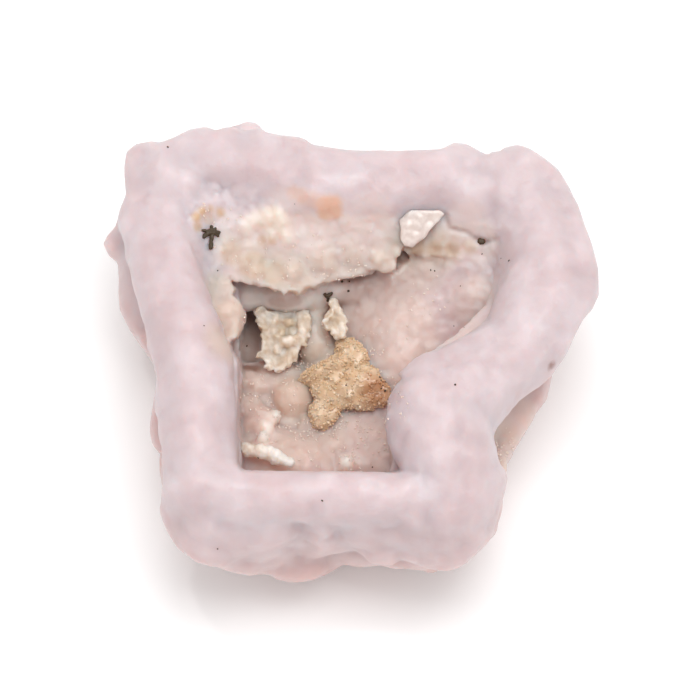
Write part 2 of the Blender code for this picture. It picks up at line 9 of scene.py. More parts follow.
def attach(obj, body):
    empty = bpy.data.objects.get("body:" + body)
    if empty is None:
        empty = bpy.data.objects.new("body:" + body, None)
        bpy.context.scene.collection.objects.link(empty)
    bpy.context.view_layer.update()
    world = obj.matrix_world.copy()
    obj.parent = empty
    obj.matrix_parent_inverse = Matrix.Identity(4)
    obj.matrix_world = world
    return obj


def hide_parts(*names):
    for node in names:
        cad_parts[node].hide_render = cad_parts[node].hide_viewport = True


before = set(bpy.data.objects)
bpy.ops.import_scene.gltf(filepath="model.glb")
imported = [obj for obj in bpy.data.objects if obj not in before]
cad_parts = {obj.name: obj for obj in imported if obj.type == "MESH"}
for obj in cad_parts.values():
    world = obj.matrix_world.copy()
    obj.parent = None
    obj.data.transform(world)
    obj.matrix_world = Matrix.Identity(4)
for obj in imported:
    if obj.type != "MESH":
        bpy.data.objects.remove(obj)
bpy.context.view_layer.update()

# The rim of the specimen. It is pink chalcedony, a very fine fibrous quartz that grew as fused rolls round a
# hollow, like thick rope. Each roll is a smooth curve of changing thickness, from its own run on the face.
MM = 0.001
SIGHT = math.radians(62)
FACE_HEIGHT = 16.0
FAR = 1000.0

ROLLS = {
    "left": (
        (-24.7, 20.0, 22.0, 3.9), (-24.2, 15.6, 23.0, 4.5), (-23.2, 10.6, 24.0, 4.5),
        (-21.8, 5.0, 24.5, 4.5), (-19.6, -0.6, 24.5, 4.7), (-19.0, -6.2, 24.0, 4.7),
        (-18.8, -11.2, 23.5, 4.7), (-18.2, -16.9, 22.5, 4.7),
    ),
    "back_left": (
        (-24.8, 22.5, 22.0, 3.4), (-20.0, 23.4, 23.0, 4.2), (-14.4, 23.1, 24.0, 4.5),
        (-8.1, 21.9, 24.5, 4.7), (-2.5, 20.0, 24.5, 5.0),
    ),
    "back_right": (
        (0.0, 20.2, 24.5, 4.6), (5.6, 20.2, 24.5, 4.7), (11.2, 20.5, 24.0, 4.7), (16.9, 19.2, 23.5, 5.2),
        (21.2, 19.4, 23.0, 5.6),
    ),
    "right": (
        (21.9, 18.1, 23.0, 5.8), (24.6, 12.5, 23.5, 6.0), (24.6, 7.5, 24.0, 6.0), (22.0, 1.5, 24.0, 5.4),
        (18.5, -2.1, 24.0, 5.4), (14.7, -4.7, 24.0, 6.1), (11.2, -7.7, 23.5, 6.9), (11.0, -11.9, 23.0, 6.5),
    ),
    "lobe": ((11.2, -11.9, 23.0, 6.0), (13.1, -16.9, 22.0, 5.7), (12.0, -21.0, 18.0, 5.7)),
    "front": (
        (-15.0, -17.7, 23.0, 3.7), (-7.5, -18.1, 24.0, 3.7), (-0.6, -18.1, 24.0, 3.7),
        (6.2, -18.3, 23.5, 3.8), (11.2, -18.7, 22.5, 4.4),
    ),
    "front_wall": (
        (-14.0, -19.5, 18.0, 4.8), (-7.5, -19.8, 18.5, 4.4), (-0.6, -19.8, 18.5, 4.4),
        (6.2, -19.8, 18.0, 4.5), (11.2, -19.0, 18.0, 5.0),
    ),
}


def spot(across, up, height):
    """The place of a spot of the face, given as seen from SIGHT above the horizon, in mm, with its height."""
    away = (up - (height - FACE_HEIGHT) * math.cos(SIGHT)) / math.sin(SIGHT)
    return Vector((across, away, height))


def spots(points):
    """Places of (across, up, height) spots, or (place, radius) pairs where a radius follows each."""
    if len(points[0]) == 3:
        return [spot(*point) for point in points]
    return [(spot(*point[:3]), point[3]) for point in points]


def smooth_run(points, steps=3):
    """More (place, radius) points, on the smooth curve through the given ones."""
    run = []
    for at in range(len(points) - 1):
        four = [points[min(max(at + shift, 0), len(points) - 1)] for shift in (-1, 0, 1, 2)]
        for step in range(steps):
            t = step / steps
            weights = (
                (-t + 2 * t**2 - t**3) / 2,
                (2 - 5 * t**2 + 3 * t**3) / 2,
                (t + 4 * t**2 - 3 * t**3) / 2,
                (-(t**2) + t**3) / 2,
            )
            place = sum((weight * point[0] for weight, point in zip(weights, four)), Vector())
            run.append((place, sum(weight * point[1] for weight, point in zip(weights, four))))
    return run + [points[-1]]


def add_node(tree, kind, inputs=(), out=0, **settings):
    """Adds a node with its settings, links or sets its inputs, and returns one of its outputs."""
    node = tree.nodes.new(kind)
    for name, value in settings.items():
        setattr(node, name, value)
    for key, value in inputs.items() if isinstance(inputs, dict) else enumerate(inputs):
        if isinstance(value, bpy.types.NodeSocket):
            tree.links.new(value, node.inputs[key])
        else:
            node.inputs[key].default_value = value
    return node.outputs[out] if node.outputs else node


def new_form(name, sizes):
    """A geometry node tree for one form, with an input for each named size, its inputs, and its place."""
    tree = bpy.data.node_groups.new(name, "GeometryNodeTree")
    tree.interface.new_socket("Mesh", in_out="OUTPUT", socket_type="NodeSocketGeometry")
    for label, value in sizes.items():
        made = tree.interface.new_socket(label, in_out="INPUT", socket_type="NodeSocketFloat")
        made.default_value = value
    return tree, tree.nodes.new("NodeGroupInput").outputs, add_node(tree, "GeometryNodeInputPosition")


def distance_group(name, vectors, values):
    """An empty node group that takes the named places and lengths and gives one distance."""
    group = bpy.data.node_groups.new(name, "GeometryNodeTree")
    group.interface.new_socket("Distance", in_out="OUTPUT", socket_type="NodeSocketFloat")
    for label in vectors:
        group.interface.new_socket(label, in_out="INPUT", socket_type="NodeSocketVector")
    for label in values:
        group.interface.new_socket(label, in_out="INPUT", socket_type="NodeSocketFloat")
    return group, group.nodes.new("NodeGroupInput").outputs


# One straight length of roll, of evenly changing thickness.
roll_length, given = distance_group(
    "Roll length", ("Place", "Start", "Run", "Even run"), ("Radius", "Growth", "Other")
)
offset = add_node(roll_length, "ShaderNodeVectorMath", (given["Place"], given["Start"]), operation="SUBTRACT")
along = add_node(
    roll_length, "ShaderNodeVectorMath", (offset, given["Even run"]), out="Value", operation="DOT_PRODUCT"
)
along = add_node(roll_length, "ShaderNodeClamp", (along,))
nearest = add_node(roll_length, "ShaderNodeVectorMath", {0: given["Run"], "Scale": along}, operation="SCALE")
away = add_node(roll_length, "ShaderNodeVectorMath", (offset, nearest), out="Value", operation="DISTANCE")
radius = (along, given["Growth"], given["Radius"])
radius = add_node(roll_length, "ShaderNodeMath", radius, operation="MULTIPLY_ADD")
length = add_node(roll_length, "ShaderNodeMath", (away, radius), operation="SUBTRACT")
nearer = add_node(roll_length, "ShaderNodeMath", (length, given["Other"]), operation="MINIMUM")
add_node(roll_length, "NodeGroupOutput", (nearer,))


def roll(tree, place, points, other=FAR):
    """The other form with a round roll on a smooth curve through (place, radius) points."""
    points = smooth_run(points)
    for (start, start_radius), (end, end_radius) in zip(points, points[1:]):
        run = end - start
        even = run / run.length_squared
        values = (place, start, run, even, start_radius, end_radius - start_radius, other)
        other = add_node(tree, "GeometryNodeGroup", values, node_tree=roll_length)
    return other


# The thick of the stone below the rim, with the round lumps of its sides. The hollow was never filled: its
# lining is softer lumps of the same chalcedony, with a deep hole at the left.
SIDE_LUMPS = (
    (-28.9, 13.1, 17.0, 2.0), (-27.6, 15.4, 18.0, 2.4), (-26.2, 23.8, 20.5, 2.2), (-23.7, 16.2, 18.0, 5.4),
    (-23.1, 10.6, 15.0, 6.0), (-23.1, 7.5, 15.0, 6.0), (-21.9, 4.4, 14.0, 6.0), (-19.4, -6.2, 16.0, 5.0),
    (-20.0, -9.4, 15.0, 4.7), (-18.7, -15.0, 15.0, 4.7), (-17.6, -20.0, 17.0, 5.1),
    (-13.7, -23.1, 14.0, 4.6), (-6.2, -25.2, 9.0, 3.5), (-9.0, -24.6, 10.0, 3.6), (21.2, 2.5, 16.0, 6.5),
    (18.7, -3.1, 13.0, 6.2), (16.2, -7.5, 13.0, 6.2), (13.7, -15.0, 13.0, 5.1), (14.0, -19.6, 15.0, 4.6),
    (11.2, -22.2, 14.0, 4.5), (4.0, -23.2, 12.0, 3.5), (0.5, -23.6, 12.0, 3.0), (-16.0, -20.5, 19.0, 5.6),
    (-11.0, -22.0, 15.5, 5.0), (-3.5, -21.4, 16.5, 4.4), (3.5, -21.2, 16.5, 4.4), (9.5, -20.5, 18.0, 5.4),
    (13.0, -17.5, 18.5, 5.4), (-9.0, -20.2, 20.6, 3.8), (-4.0, -20.4, 20.6, 3.8), (1.5, -20.4, 20.6, 3.8),
    (6.5, -20.2, 20.2, 3.9), (-12.9, 26.0, 21.0, 2.4), (-18.1, 23.7, 20.0, 4.1), (-6.2, 22.2, 20.0, 4.4),
    (-22.0, 19.6, 23.0, 4.6), (13.5, 22.0, 21.0, 4.0), (20.0, 22.3, 21.0, 3.4), (20.4, 19.0, 19.0, 5.2),
    (24.4, 8.1, 19.0, 6.4),
)
MASS_PLAN = (
    (-11.0, -15.3), (5.5, -15.3), (8.0, -9.0), (12.0, 0.5), (16.5, 8.0), (16.8, 13.5), (11.5, 15.5),
    (-8.0, 16.0), (-14.5, 15.0), (-16.0, 11.5), (-12.2, -1.0), (-12.6, -9.0),
)
MASS_HEIGHT = 10.4
MASS_HALF = 11.5
POCKET = ((-13.7, -21.5), (4.5, -21.5), (6.5, -3.0), (6.5, 14.0), (-13.7, 14.0))
POCKET_FLOOR = 9.5
SIDE_ROOM = ((4.0, -8.0), (8.0, -6.0), (18.0, 5.0), (20.5, 12.5), (4.0, 13.5))
SIDE_ROOM_FLOOR = 12.0
LINING_LUMPS = (
    (9.4, 2.8, 8.5, 9.2), (15.6, 7.2, 12.0, 8.5), (3.8, 2.5, 8.5, 6.8), (6.4, -2.2, 10.0, 5.4),
    (19.0, 9.8, 15.5, 6.8), (12.0, 10.0, 10.0, 7.7), (20.0, 13.5, 18.5, 4.8), (5.0, 8.0, 9.5, 6.0),
    (-0.6, -12.5, 6.0, 6.0), (2.7, -10.9, 7.5, 3.8), (-0.6, -4.4, 8.5, 5.2), (3.5, -4.7, 9.5, 3.4),
    (-10.0, -14.5, 7.5, 5.0), (-5.0, -15.5, 7.0, 5.0), (4.0, -15.0, 7.5, 4.5), (-9.5, -6.5, 6.0, 4.6),
    (0.5, 8.0, 14.6, 2.4), (3.5, 9.0, 15.2, 2.6), (6.5, 10.0, 16.2, 2.8), (10.0, 11.0, 17.0, 3.0),
    (14.0, 11.6, 17.6, 3.0), (17.5, 12.2, 18.6, 3.0),
)
FLOOR_LUMPS = (
    (-11.8, -4.6, 9.2, 2.3), (-9.2, -5.0, 9.4, 1.9), (-7.0, -6.4, 9.8, 2.7), (-12.6, -7.6, 9.8, 1.9),
    (-11.2, -9.4, 10.2, 2.3), (-4.6, -9.6, 9.6, 2.0), (-7.6, -9.0, 9.2, 1.6), (-2.0, -12.0, 10.2, 1.8),
    (1.2, -11.6, 10.0, 1.7), (2.8, -10.6, 10.6, 1.5), (-5.6, -12.6, 9.8, 1.7), (-0.4, -14.2, 10.4, 1.5),
    (-10.4, -9.6, 12.0, 1.1), (-10.9, -10.9, 12.5, 0.9), (-9.3, -8.3, 11.9, 0.8), (-0.4, -14.0, 11.6, 0.7),
)
DEEP_HOLE = (
    (-13.0, 4.0), (-12.3, 4.5), (-11.6, 4.2), (-11.1, 3.0), (-10.4, 1.5), (-10.4, 0.4), (-10.8, -0.8),
    (-10.6, -1.8), (-11.3, -2.5), (-12.8, -2.4), (-13.8, -1.9), (-14.1, -1.0), (-14.8, 0.0), (-14.9, 0.8),
    (-14.6, 1.3), (-13.8, 1.8), (-13.4, 2.8), (-13.0, 3.5),
)
HOLE_FLOOR = 12.4

# One round lump, joined softly.
round_lump, given = distance_group("Round lump", ("Place", "Centre"), ("Radius", "Soft", "Other"))
away = (given["Place"], given["Centre"])
away = add_node(round_lump, "ShaderNodeVectorMath", away, out="Value", operation="DISTANCE")
length = add_node(round_lump, "ShaderNodeMath", (away, given["Radius"]), operation="SUBTRACT")
joined = (given["Other"], length, given["Soft"])
joined = add_node(round_lump, "ShaderNodeMath", joined, operation="SMOOTH_MIN")
add_node(round_lump, "NodeGroupOutput", (joined,))


def lumps(tree, place, balls, soft, other=FAR):
    """The other form with round lumps of (place, radius) joined to it softly."""
    for centre, radius in balls:
        values = (place, centre, radius, soft, other)
        other = add_node(tree, "GeometryNodeGroup", values, node_tree=round_lump)
    return other


def guide_shape(tree, name, drawn):
    """What was drawn in a bmesh, as geometry in mm that a tree can measure from."""
    mesh = bpy.data.meshes.new(name)
    drawn.to_mesh(mesh)
    drawn.free()
    guide = bpy.data.objects.new(name, mesh)
    seen = add_node(tree, "GeometryNodeObjectInfo", {"Object": guide}, out="Geometry")
    return add_node(tree, "GeometryNodeTransform", {"Geometry": seen, "Scale": (1 / MM, 1 / MM, 1 / MM)})


def plate(tree, place, name, points, half):
    """A plate with round edges, half thick each way, that fills the outline through the points."""
    outline = bmesh.new()
    outline.faces.new([outline.verts.new(point * MM) for point in points])
    bmesh.ops.triangulate(outline, faces=outline.faces)
    near = {0: guide_shape(tree, name, outline), "Sample Position": place}
    away = add_node(tree, "GeometryNodeProximity", near, out="Distance")
    return add_node(tree, "ShaderNodeMath", (away, half), operation="SUBTRACT")


def upright_room(tree, place, corners, floor, soft):
    """The upright space inside a convex plan, anticlockwise from above, down to its floor."""
    height = add_node(tree, "ShaderNodeSeparateXYZ", (place,), out=2)
    room = add_node(tree, "ShaderNodeMath", (floor, height), operation="SUBTRACT")
    for start, end in zip(corners, (*corners[1:], corners[0])):
        outward = Vector((end[1] - start[1], start[0] - end[0], 0)).normalized()
        reach = outward.dot(Vector((start[0], start[1], 0)))
        side = add_node(tree, "ShaderNodeVectorMath", (place, outward), out="Value", operation="DOT_PRODUCT")
        side = add_node(tree, "ShaderNodeMath", (side, reach), operation="SUBTRACT")
        room = add_node(tree, "ShaderNodeMath", (room, side, soft), operation="SMOOTH_MAX")
    return room


# The ledges. One thin sheet of sugary cream chalcedony runs out over the hollow from its back and left walls,
# with a scalloped edge where it stopped growing. A thicker shelf lies under the back roll at the right.
LEDGE = (
    (6.6, 12.9), (6.3, 12.2), (5.8, 11.5), (5.9, 10.8), (5.5, 10.1), (5.0, 9.6), (4.1, 9.6), (3.2, 9.9),
    (2.5, 9.8), (2.0, 9.3), (1.5, 9.4), (1.0, 9.0), (0.0, 9.1), (-0.6, 8.9), (-1.6, 8.8), (-2.4, 8.6),
    (-3.5, 8.4), (-4.4, 8.0), (-5.1, 7.9), (-5.6, 7.6), (-6.1, 7.2), (-6.9, 7.2), (-7.4, 7.4), (-7.9, 7.1),
    (-8.6, 7.1), (-9.1, 7.4), (-9.8, 7.8), (-11.2, 7.9), (-11.8, 8.1), (-12.5, 8.2), (-13.8, 8.6),
    (-14.8, 8.9), (-14.9, 8.4), (-14.6, 7.5), (-14.9, 6.9), (-14.1, 6.2), (-13.8, 5.0), (-13.1, 4.0),
    (-13.0, 3.5), (-13.4, 2.8), (-13.8, 1.8), (-14.6, 1.2), (-14.9, 0.8), (-14.8, 0.0), (-14.1, -1.0),
    (-13.8, -1.9), (-13.6, -3.0), (-14.2, -4.5), (-18.0, -6.0), (-20.0, 5.0), (-19.5, 16.0), (-18.0, 19.0),
    (-4.0, 19.0), (6.0, 17.0),
)
LEDGE_LIE = ((-1.0, 7.8, 19.5), (0.0, 0.3), 0.012)
LEDGE_HALF = 0.65
LEDGE_LIP = 0.25
LEDGE_ROOT = (
    (-16.5, 14.6, 20.8, 2.8), (-13.0, 14.4, 20.4, 3.0), (-8.5, 14.2, 20.4, 3.2), (-4.0, 13.8, 20.4, 3.0),
    (0.5, 14.2, 20.6, 3.0), (4.2, 14.8, 21.0, 2.7), (-19.5, 18.4, 22.6, 3.0), (-17.0, 18.0, 22.0, 3.2),
    (-13.0, 18.2, 22.4, 3.4), (-8.5, 17.6, 22.6, 3.6), (-4.0, 16.8, 22.4, 3.4), (0.5, 16.6, 22.6, 3.4),
    (4.5, 17.0, 22.8, 3.2),
)
LEDGE_SWELLS = (
    (-16.5, 12.0, 22.2, 1.5), (-12.0, 9.8, 20.6, 1.2), (-7.5, 9.6, 20.0, 1.3), (-3.0, 11.0, 20.2, 1.4),
    (1.0, 11.6, 20.4, 1.4), (3.6, 11.4, 20.8, 1.1), (-5.5, 13.6, 21.2, 1.5), (-15.6, 4.6, 21.0, 1.2),
)
SHELF = (
    (6.0, 14.4), (6.5, 12.6), (7.3, 12.4), (8.3, 12.1), (9.4, 11.9), (10.4, 12.1), (11.3, 12.3),
    (12.5, 11.9), (14.0, 11.9), (15.0, 12.0), (16.3, 12.1), (17.5, 12.5), (18.8, 12.8), (20.0, 13.8),
    (21.0, 16.0), (19.0, 18.0), (11.0, 18.5), (6.0, 17.5),
)
SHELF_LIE = ((12.0, 12.0, 20.9), (0.07, 0.3), 0.0)
SHELF_HALF = 0.7
SHELF_ROOT = (
    (8.5, 15.4, 20.8, 2.6), (12.0, 14.6, 21.2, 2.3), (15.0, 14.4, 21.6, 2.3), (18.0, 14.6, 21.8, 2.4),
    (12.0, 16.6, 22.2, 2.8), (15.5, 16.2, 22.6, 2.8), (19.0, 15.8, 23.0, 3.0), (20.5, 15.2, 22.2, 3.0),
)

# The web: a broad see-into wall of chalcedony that runs from the ledge down to the floor, the wall behind it,
# and the stems of the lace plates.
WEB = (
    ((-8.2, 1.2, 9.0, 2.6), (-8.3, 2.0, 11.6, 1.6)),
    ((-1.6, 3.2, 9.0, 1.8), (-1.8, 3.9, 14.6, 0.9)),
    ((-4.2, 8.6, 16.4, 1.9), (-4.2, 6.4, 14.4, 1.8), (-4.5, 3.6, 12.6, 1.9), (-4.4, 0.6, 11.0, 2.3)),
    ((-13.2, 7.2, 15.0, 2.4), (-10.4, 7.4, 14.5, 2.5), (-7.5, 7.2, 15.2, 2.6), (-4.6, 7.4, 14.8, 2.6),
     (-1.5, 8.4, 15.4, 2.4)),
    ((-13.4, -3.4, 9.0, 2.0), (-10.6, -3.2, 9.4, 1.8), (-7.6, -3.8, 9.6, 1.8)),
)

# The stone's outline on the face, and the edge of the hollow between the left, front and right rolls.
OUTLINE = (
    (-28.3, 23.0), (-28.0, 24.9), (-26.8, 25.8), (-25.0, 26.1), (-23.8, 25.9), (-21.9, 26.6), (-20.0, 27.6),
    (-18.1, 27.9), (-16.8, 27.4), (-15.0, 28.0), (-13.8, 28.3), (-13.2, 28.6), (-11.9, 28.6), (-11.2, 28.0),
    (-10.6, 27.2), (-9.4, 27.0), (-6.3, 26.6), (-5.6, 26.3), (-4.8, 25.6), (-2.5, 25.3), (0.0, 24.9),
    (6.3, 24.8), (11.3, 25.0), (13.1, 25.9), (14.4, 25.8), (16.3, 24.8), (17.2, 24.3), (17.9, 24.8),
    (18.9, 24.8), (19.4, 25.3), (20.9, 25.9), (22.5, 25.1), (24.4, 23.8), (26.0, 22.5), (27.5, 20.3),
    (28.4, 18.1), (29.1, 15.6), (30.0, 13.1), (30.8, 10.0), (30.9, 6.9), (30.1, 5.2), (28.8, 3.9),
    (27.5, 1.4), (26.5, -1.0), (25.1, -3.8), (24.5, -6.2), (23.1, -8.1), (21.9, -10.0), (20.4, -12.5),
    (19.6, -15.0), (19.1, -17.5), (18.6, -21.2), (18.1, -22.7), (16.2, -24.4), (14.4, -26.2), (12.5, -27.4),
    (11.0, -27.9), (8.8, -27.3), (6.9, -26.9), (5.6, -27.0), (3.8, -26.5), (1.3, -26.9), (-0.8, -26.6),
    (-1.8, -27.2), (-3.1, -28.1), (-5.0, -28.6), (-7.5, -28.8), (-9.1, -28.4), (-10.0, -27.8),
    (-12.5, -27.9), (-15.0, -27.3), (-16.9, -26.6), (-18.8, -26.0), (-21.2, -24.4), (-22.8, -21.9),
    (-23.5, -19.4), (-23.4, -16.9), (-23.8, -14.4), (-24.6, -11.9), (-24.8, -10.0), (-24.4, -6.3),
    (-23.8, -3.1), (-25.0, -1.0), (-26.2, 0.6), (-27.5, 2.5), (-28.8, 5.0), (-29.1, 7.5), (-29.1, 11.0),
    (-30.2, 11.9), (-30.9, 13.4), (-30.4, 14.4), (-29.4, 15.4), (-28.8, 17.2), (-27.9, 19.4),
)
HOLLOW_EDGE = (
    (-13.8, -2.0), (-13.8, -14.0), (-13.3, -14.7), (-12.5, -14.8), (-3.8, -14.8), (6.3, -14.9), (5.6, -13.8),
    (4.5, -11.2), (4.0, -8.8), (4.4, -6.3), (5.6, -4.4), (6.5, -3.5), (3.8, -2.0),
)
EDGE_FLOOR = 17.0
UNDER_LEDGE = (
    (6.5, 12.7), (6.3, 12.2), (5.8, 11.5), (5.9, 10.8), (5.5, 10.1), (5.0, 9.6), (4.1, 9.5), (3.6, 9.8),
    (2.5, 9.8), (2.2, 9.3), (1.5, 9.4), (1.0, 8.9), (0.0, 9.1), (-0.6, 8.7), (-1.6, 8.7), (-2.4, 8.3),
    (-3.5, 8.3), (-4.4, 7.8), (-5.1, 7.9), (-5.6, 7.4), (-6.1, 7.0), (-6.9, 7.2), (-7.4, 7.4), (-7.9, 7.0),
    (-8.6, 7.0), (-9.1, 7.4), (-9.8, 7.5), (-10.4, 7.9), (-11.2, 7.8), (-11.8, 8.1), (-12.5, 8.0),
    (-13.2, 8.5), (-13.8, 8.4), (-14.8, 8.8), (-14.7, 8.2), (-14.3, 7.5), (-14.7, 6.9), (-13.9, 6.2),
    (-13.6, 5.6), (-8.0, 5.4), (-2.0, 6.0), (2.0, 7.0), (5.9, 9.6), (7.7, 11.5), (7.2, 12.3),
)
UNDER_FLOOR = 19.1

# Where two growths of the stone meet: narrow cracks, and wide shallow folds between the rolls and the
# lower walls.
CRACKS = (((11.9, 17.0), (12.5, 15.3), (14.4, 14.9), (15.8, 14.0), (16.6, 13.4), (18.2, 13.9)),)
FOLDS = (
    ((26.3, -1.3), (24.4, -3.1), (21.9, -5.6), (20.3, -7.8), (18.5, -10.6), (17.8, -12.5), (18.0, -16.0),
     (17.4, -21.0)),
    ((-29.6, 13.8), (-28.1, 8.1), (-25.6, 2.5), (-23.1, -2.5), (-22.6, -8.0), (-21.8, -14.0)),
    ((-1.9, 23.1), (-2.5, 20.6), (-2.5, 17.5)),
    ((5.6, -14.4), (7.5, -14.5), (8.8, -15.0), (9.4, -16.9), (10.3, -18.8), (9.6, -20.0)),
    ((-25.0, 21.3), (-20.0, 20.0), (-14.4, 18.8)),
    ((-10.0, -20.6), (-6.3, -21.9), (-1.3, -22.5), (6.3, -21.3)),
    ((-13.8, 26.9), (-9.0, 24.6), (-6.5, 21.5)),
    ((16.9, 24.0), (16.3, 21.0), (17.6, 18.0)),
)
# Where a crust is raised on the ledge.
CRUSTS = (
    ((-12.9, 15.6), (-11.4, 16.2), (-10.2, 16.5), (-9.4, 15.9), (-8.7, 15.0), (-7.9, 14.2)),
    ((-10.3, 16.6), (-10.2, 15.2), (-9.6, 14.4)), ((-9.0, 16.9), (-8.4, 15.9)),
)

# How wide the fillet of each join or cut is.
SOFT = {
    "sides": 2.5, "rooms": 2.0, "hollow": 1.5, "lining": 3.0, "floor": 1.0, "web": 1.0, "swells": 1.2,
    "roots": 2.5, "ledges": 2.4, "outline": 1.0, "leaf": 0.5, "lace rims": 0.35, "lace knobs": 0.4,
    "lace stems": 0.5, "druse": 1.0, "druse edge": 1.4, "chip": 0.4,
}
OUTLINE_SLACK = 0.15
# Each opening: its outline and floor, how wide its fillet is, and whether its edge is scalloped.
CARVED = (
    ("hollow_edge", HOLLOW_EDGE, EDGE_FLOOR, 0.8, False),
    ("under_ledge", UNDER_LEDGE, UNDER_FLOOR, 0.3, True),
    ("deep_hole", DEEP_HOLE, HOLE_FLOOR, 0.4, True),
)
ON_OUTLINE = 0.03
KNOB_SMOOTHNESS = 0.3

STONE_ROOM = ((-34.0, -35.0, -1.0), (34.0, 33.0, 33.0))
STONE_SIZES = {
    "Cell": 0.32, "Rim softness": 2.6, "Mass softness": 2.4,
    "Swelling size": 7.0, "Swelling depth": 1.1,
    "Botryoid size": 4.5, "Botryoid depth": 0.25, "Ruffle size": 5.0, "Ruffle depth": 0.3, "Lip width": 1.4,
    "Scallop size": 1.0, "Scallop depth": 0.3,
    "Uneven size": 10.0, "Uneven depth": 0.4, "Grain size": 2.2, "Grain depth": 0.14,
    "Sugar size": 0.9, "Sugar depth": 0.16, "Outline growth": 0.45, "Outline band": 2.5,
    "Crack width": 0.6, "Crack depth": 0.25, "Fold width": 2.6, "Fold depth": 0.35,
    "Crust width": 1.7, "Crust depth": -0.7,
}
STONE_TRIANGLES = 190000


def seen_guide(tree, name, runs, filled):
    """Flat outlines, filled, or lines through (across, up) points of the face, as geometry in mm."""
    drawn = bmesh.new()
    for run in runs:
        corners = [drawn.verts.new((across * MM, up * MM, 0)) for across, up in run]
        if filled:
            drawn.faces.new(corners)
        else:
            for pair in zip(corners, corners[1:]):
                drawn.edges.new(pair)
    return guide_shape(tree, name, drawn)


def seen_at(tree, place):
    """The (across, up) spot of the face where the sight line shows a place."""
    across = add_node(tree, "ShaderNodeSeparateXYZ", (place,))
    lift = (0.0, math.sin(SIGHT), math.cos(SIGHT))
    up = add_node(tree, "ShaderNodeVectorMath", (place, lift), out="Value", operation="DOT_PRODUCT")
    up = add_node(tree, "ShaderNodeMath", (up, FACE_HEIGHT * math.cos(SIGHT)), operation="SUBTRACT")
    return add_node(tree, "ShaderNodeCombineXYZ", (across, up, 0.0))


def seen_edge(tree, place, name, corners):
    """How far a place is seen outside an outline on the face, negative inside."""
    guide = seen_guide(tree, name, (corners,), True)
    near = {0: guide, "Sample Position": seen_at(tree, place)}
    beside = add_node(tree, "GeometryNodeProximity", near, out="Distance", target_element="EDGES")
    outside = add_node(tree, "GeometryNodeProximity", near, out="Distance")
    side = add_node(tree, "ShaderNodeMath", (outside, ON_OUTLINE), operation="GREATER_THAN")
    side = add_node(tree, "ShaderNodeMath", (side, 2.0, -1.0), operation="MULTIPLY_ADD")
    return add_node(tree, "ShaderNodeMath", (beside, side), operation="MULTIPLY")


def knobbly(tree, place, form, size, kind, feature="SMOOTH_F1"):
    """The form with round knobs of one kind all over it, of the tree's named size and depth."""
    fineness = add_node(tree, "ShaderNodeMath", (1.0, size[f"{kind} size"]), operation="DIVIDE")
    pattern = {"Vector": place, "Scale": fineness}
    if feature == "SMOOTH_F1":
        pattern["Smoothness"] = KNOB_SMOOTHNESS
    cells = add_node(tree, "ShaderNodeTexVoronoi", pattern, out="Distance", feature=feature)
    cells = add_node(tree, "ShaderNodeMath", (cells, 2.0, -1.0), operation="MULTIPLY_ADD")
    return add_node(tree, "ShaderNodeMath", (cells, size[f"{kind} depth"], form), operation="MULTIPLY_ADD")


def leaf(tree, place, name, corners, lie, half, lip, size):
    """A thin leaf of stone that fills an outline on the face: it lies round a place, sloped, bowed and
    ruffled, half thick each way and thicker by a lip along its edge."""
    centre, slopes, bow = lie
    offset = add_node(tree, "ShaderNodeVectorMath", (place, centre), operation="SUBTRACT")
    upright = (-slopes[0], -slopes[1], 1.0)
    lift = add_node(tree, "ShaderNodeVectorMath", (offset, upright), out="Value", operation="DOT_PRODUCT")
    across = add_node(tree, "ShaderNodeSeparateXYZ", (offset,))
    bent = add_node(tree, "ShaderNodeMath", (across, across), operation="MULTIPLY")
    lift = add_node(tree, "ShaderNodeMath", (bent, -bow, lift), operation="MULTIPLY_ADD")
    fineness = add_node(tree, "ShaderNodeMath", (1.0, size["Ruffle size"]), operation="DIVIDE")
    waves = add_node(tree, "ShaderNodeTexNoise", {"Vector": place, "Scale": fineness, "Detail": 1.5})
    waves = add_node(tree, "ShaderNodeMath", (waves, 4.0, -2.0), operation="MULTIPLY_ADD")
    lift = add_node(tree, "ShaderNodeMath", (waves, size["Ruffle depth"], lift), operation="MULTIPLY_ADD")
    lift = add_node(tree, "ShaderNodeMath", (lift,), operation="ABSOLUTE")
    edge = knobbly(tree, place, seen_edge(tree, place, name, corners), size, "Scallop", "F1")
    inward = add_node(tree, "ShaderNodeMath", (size["Lip width"], -1.0), operation="MULTIPLY")
    lip = {"Value": edge, "From Min": inward, "From Max": 0.0, "To Min": half, "To Max": half + lip}
    lip = add_node(tree, "ShaderNodeMapRange", lip, interpolation_type="SMOOTHSTEP")
    lift = add_node(tree, "ShaderNodeMath", (lift, lip), operation="SUBTRACT")
    return add_node(tree, "ShaderNodeMath", (lift, edge, SOFT["leaf"]), operation="SMOOTH_MAX")


tree, size, place = new_form("Stone", STONE_SIZES)
mass = plate(tree, place, "mass_plan", [Vector((x, y, MASS_HEIGHT)) for x, y in MASS_PLAN], MASS_HALF)
mass = lumps(tree, place, spots(SIDE_LUMPS), SOFT["sides"], mass)
mass = knobbly(tree, place, mass, size, "Swelling")
pocket = upright_room(tree, place, POCKET, POCKET_FLOOR, SOFT["rooms"])
side_room = upright_room(tree, place, SIDE_ROOM, SIDE_ROOM_FLOOR, SOFT["rooms"])
hollow = add_node(tree, "ShaderNodeMath", (pocket, side_room, SOFT["rooms"]), operation="SMOOTH_MIN")
solid = add_node(tree, "ShaderNodeMath", (hollow, -1.0), operation="MULTIPLY")
mass = add_node(tree, "ShaderNodeMath", (mass, solid, SOFT["hollow"]), operation="SMOOTH_MAX")
mass = lumps(tree, place, spots(LINING_LUMPS), SOFT["lining"], mass)
mass = lumps(tree, place, spots(FLOOR_LUMPS), SOFT["floor"], mass)
rim = FAR
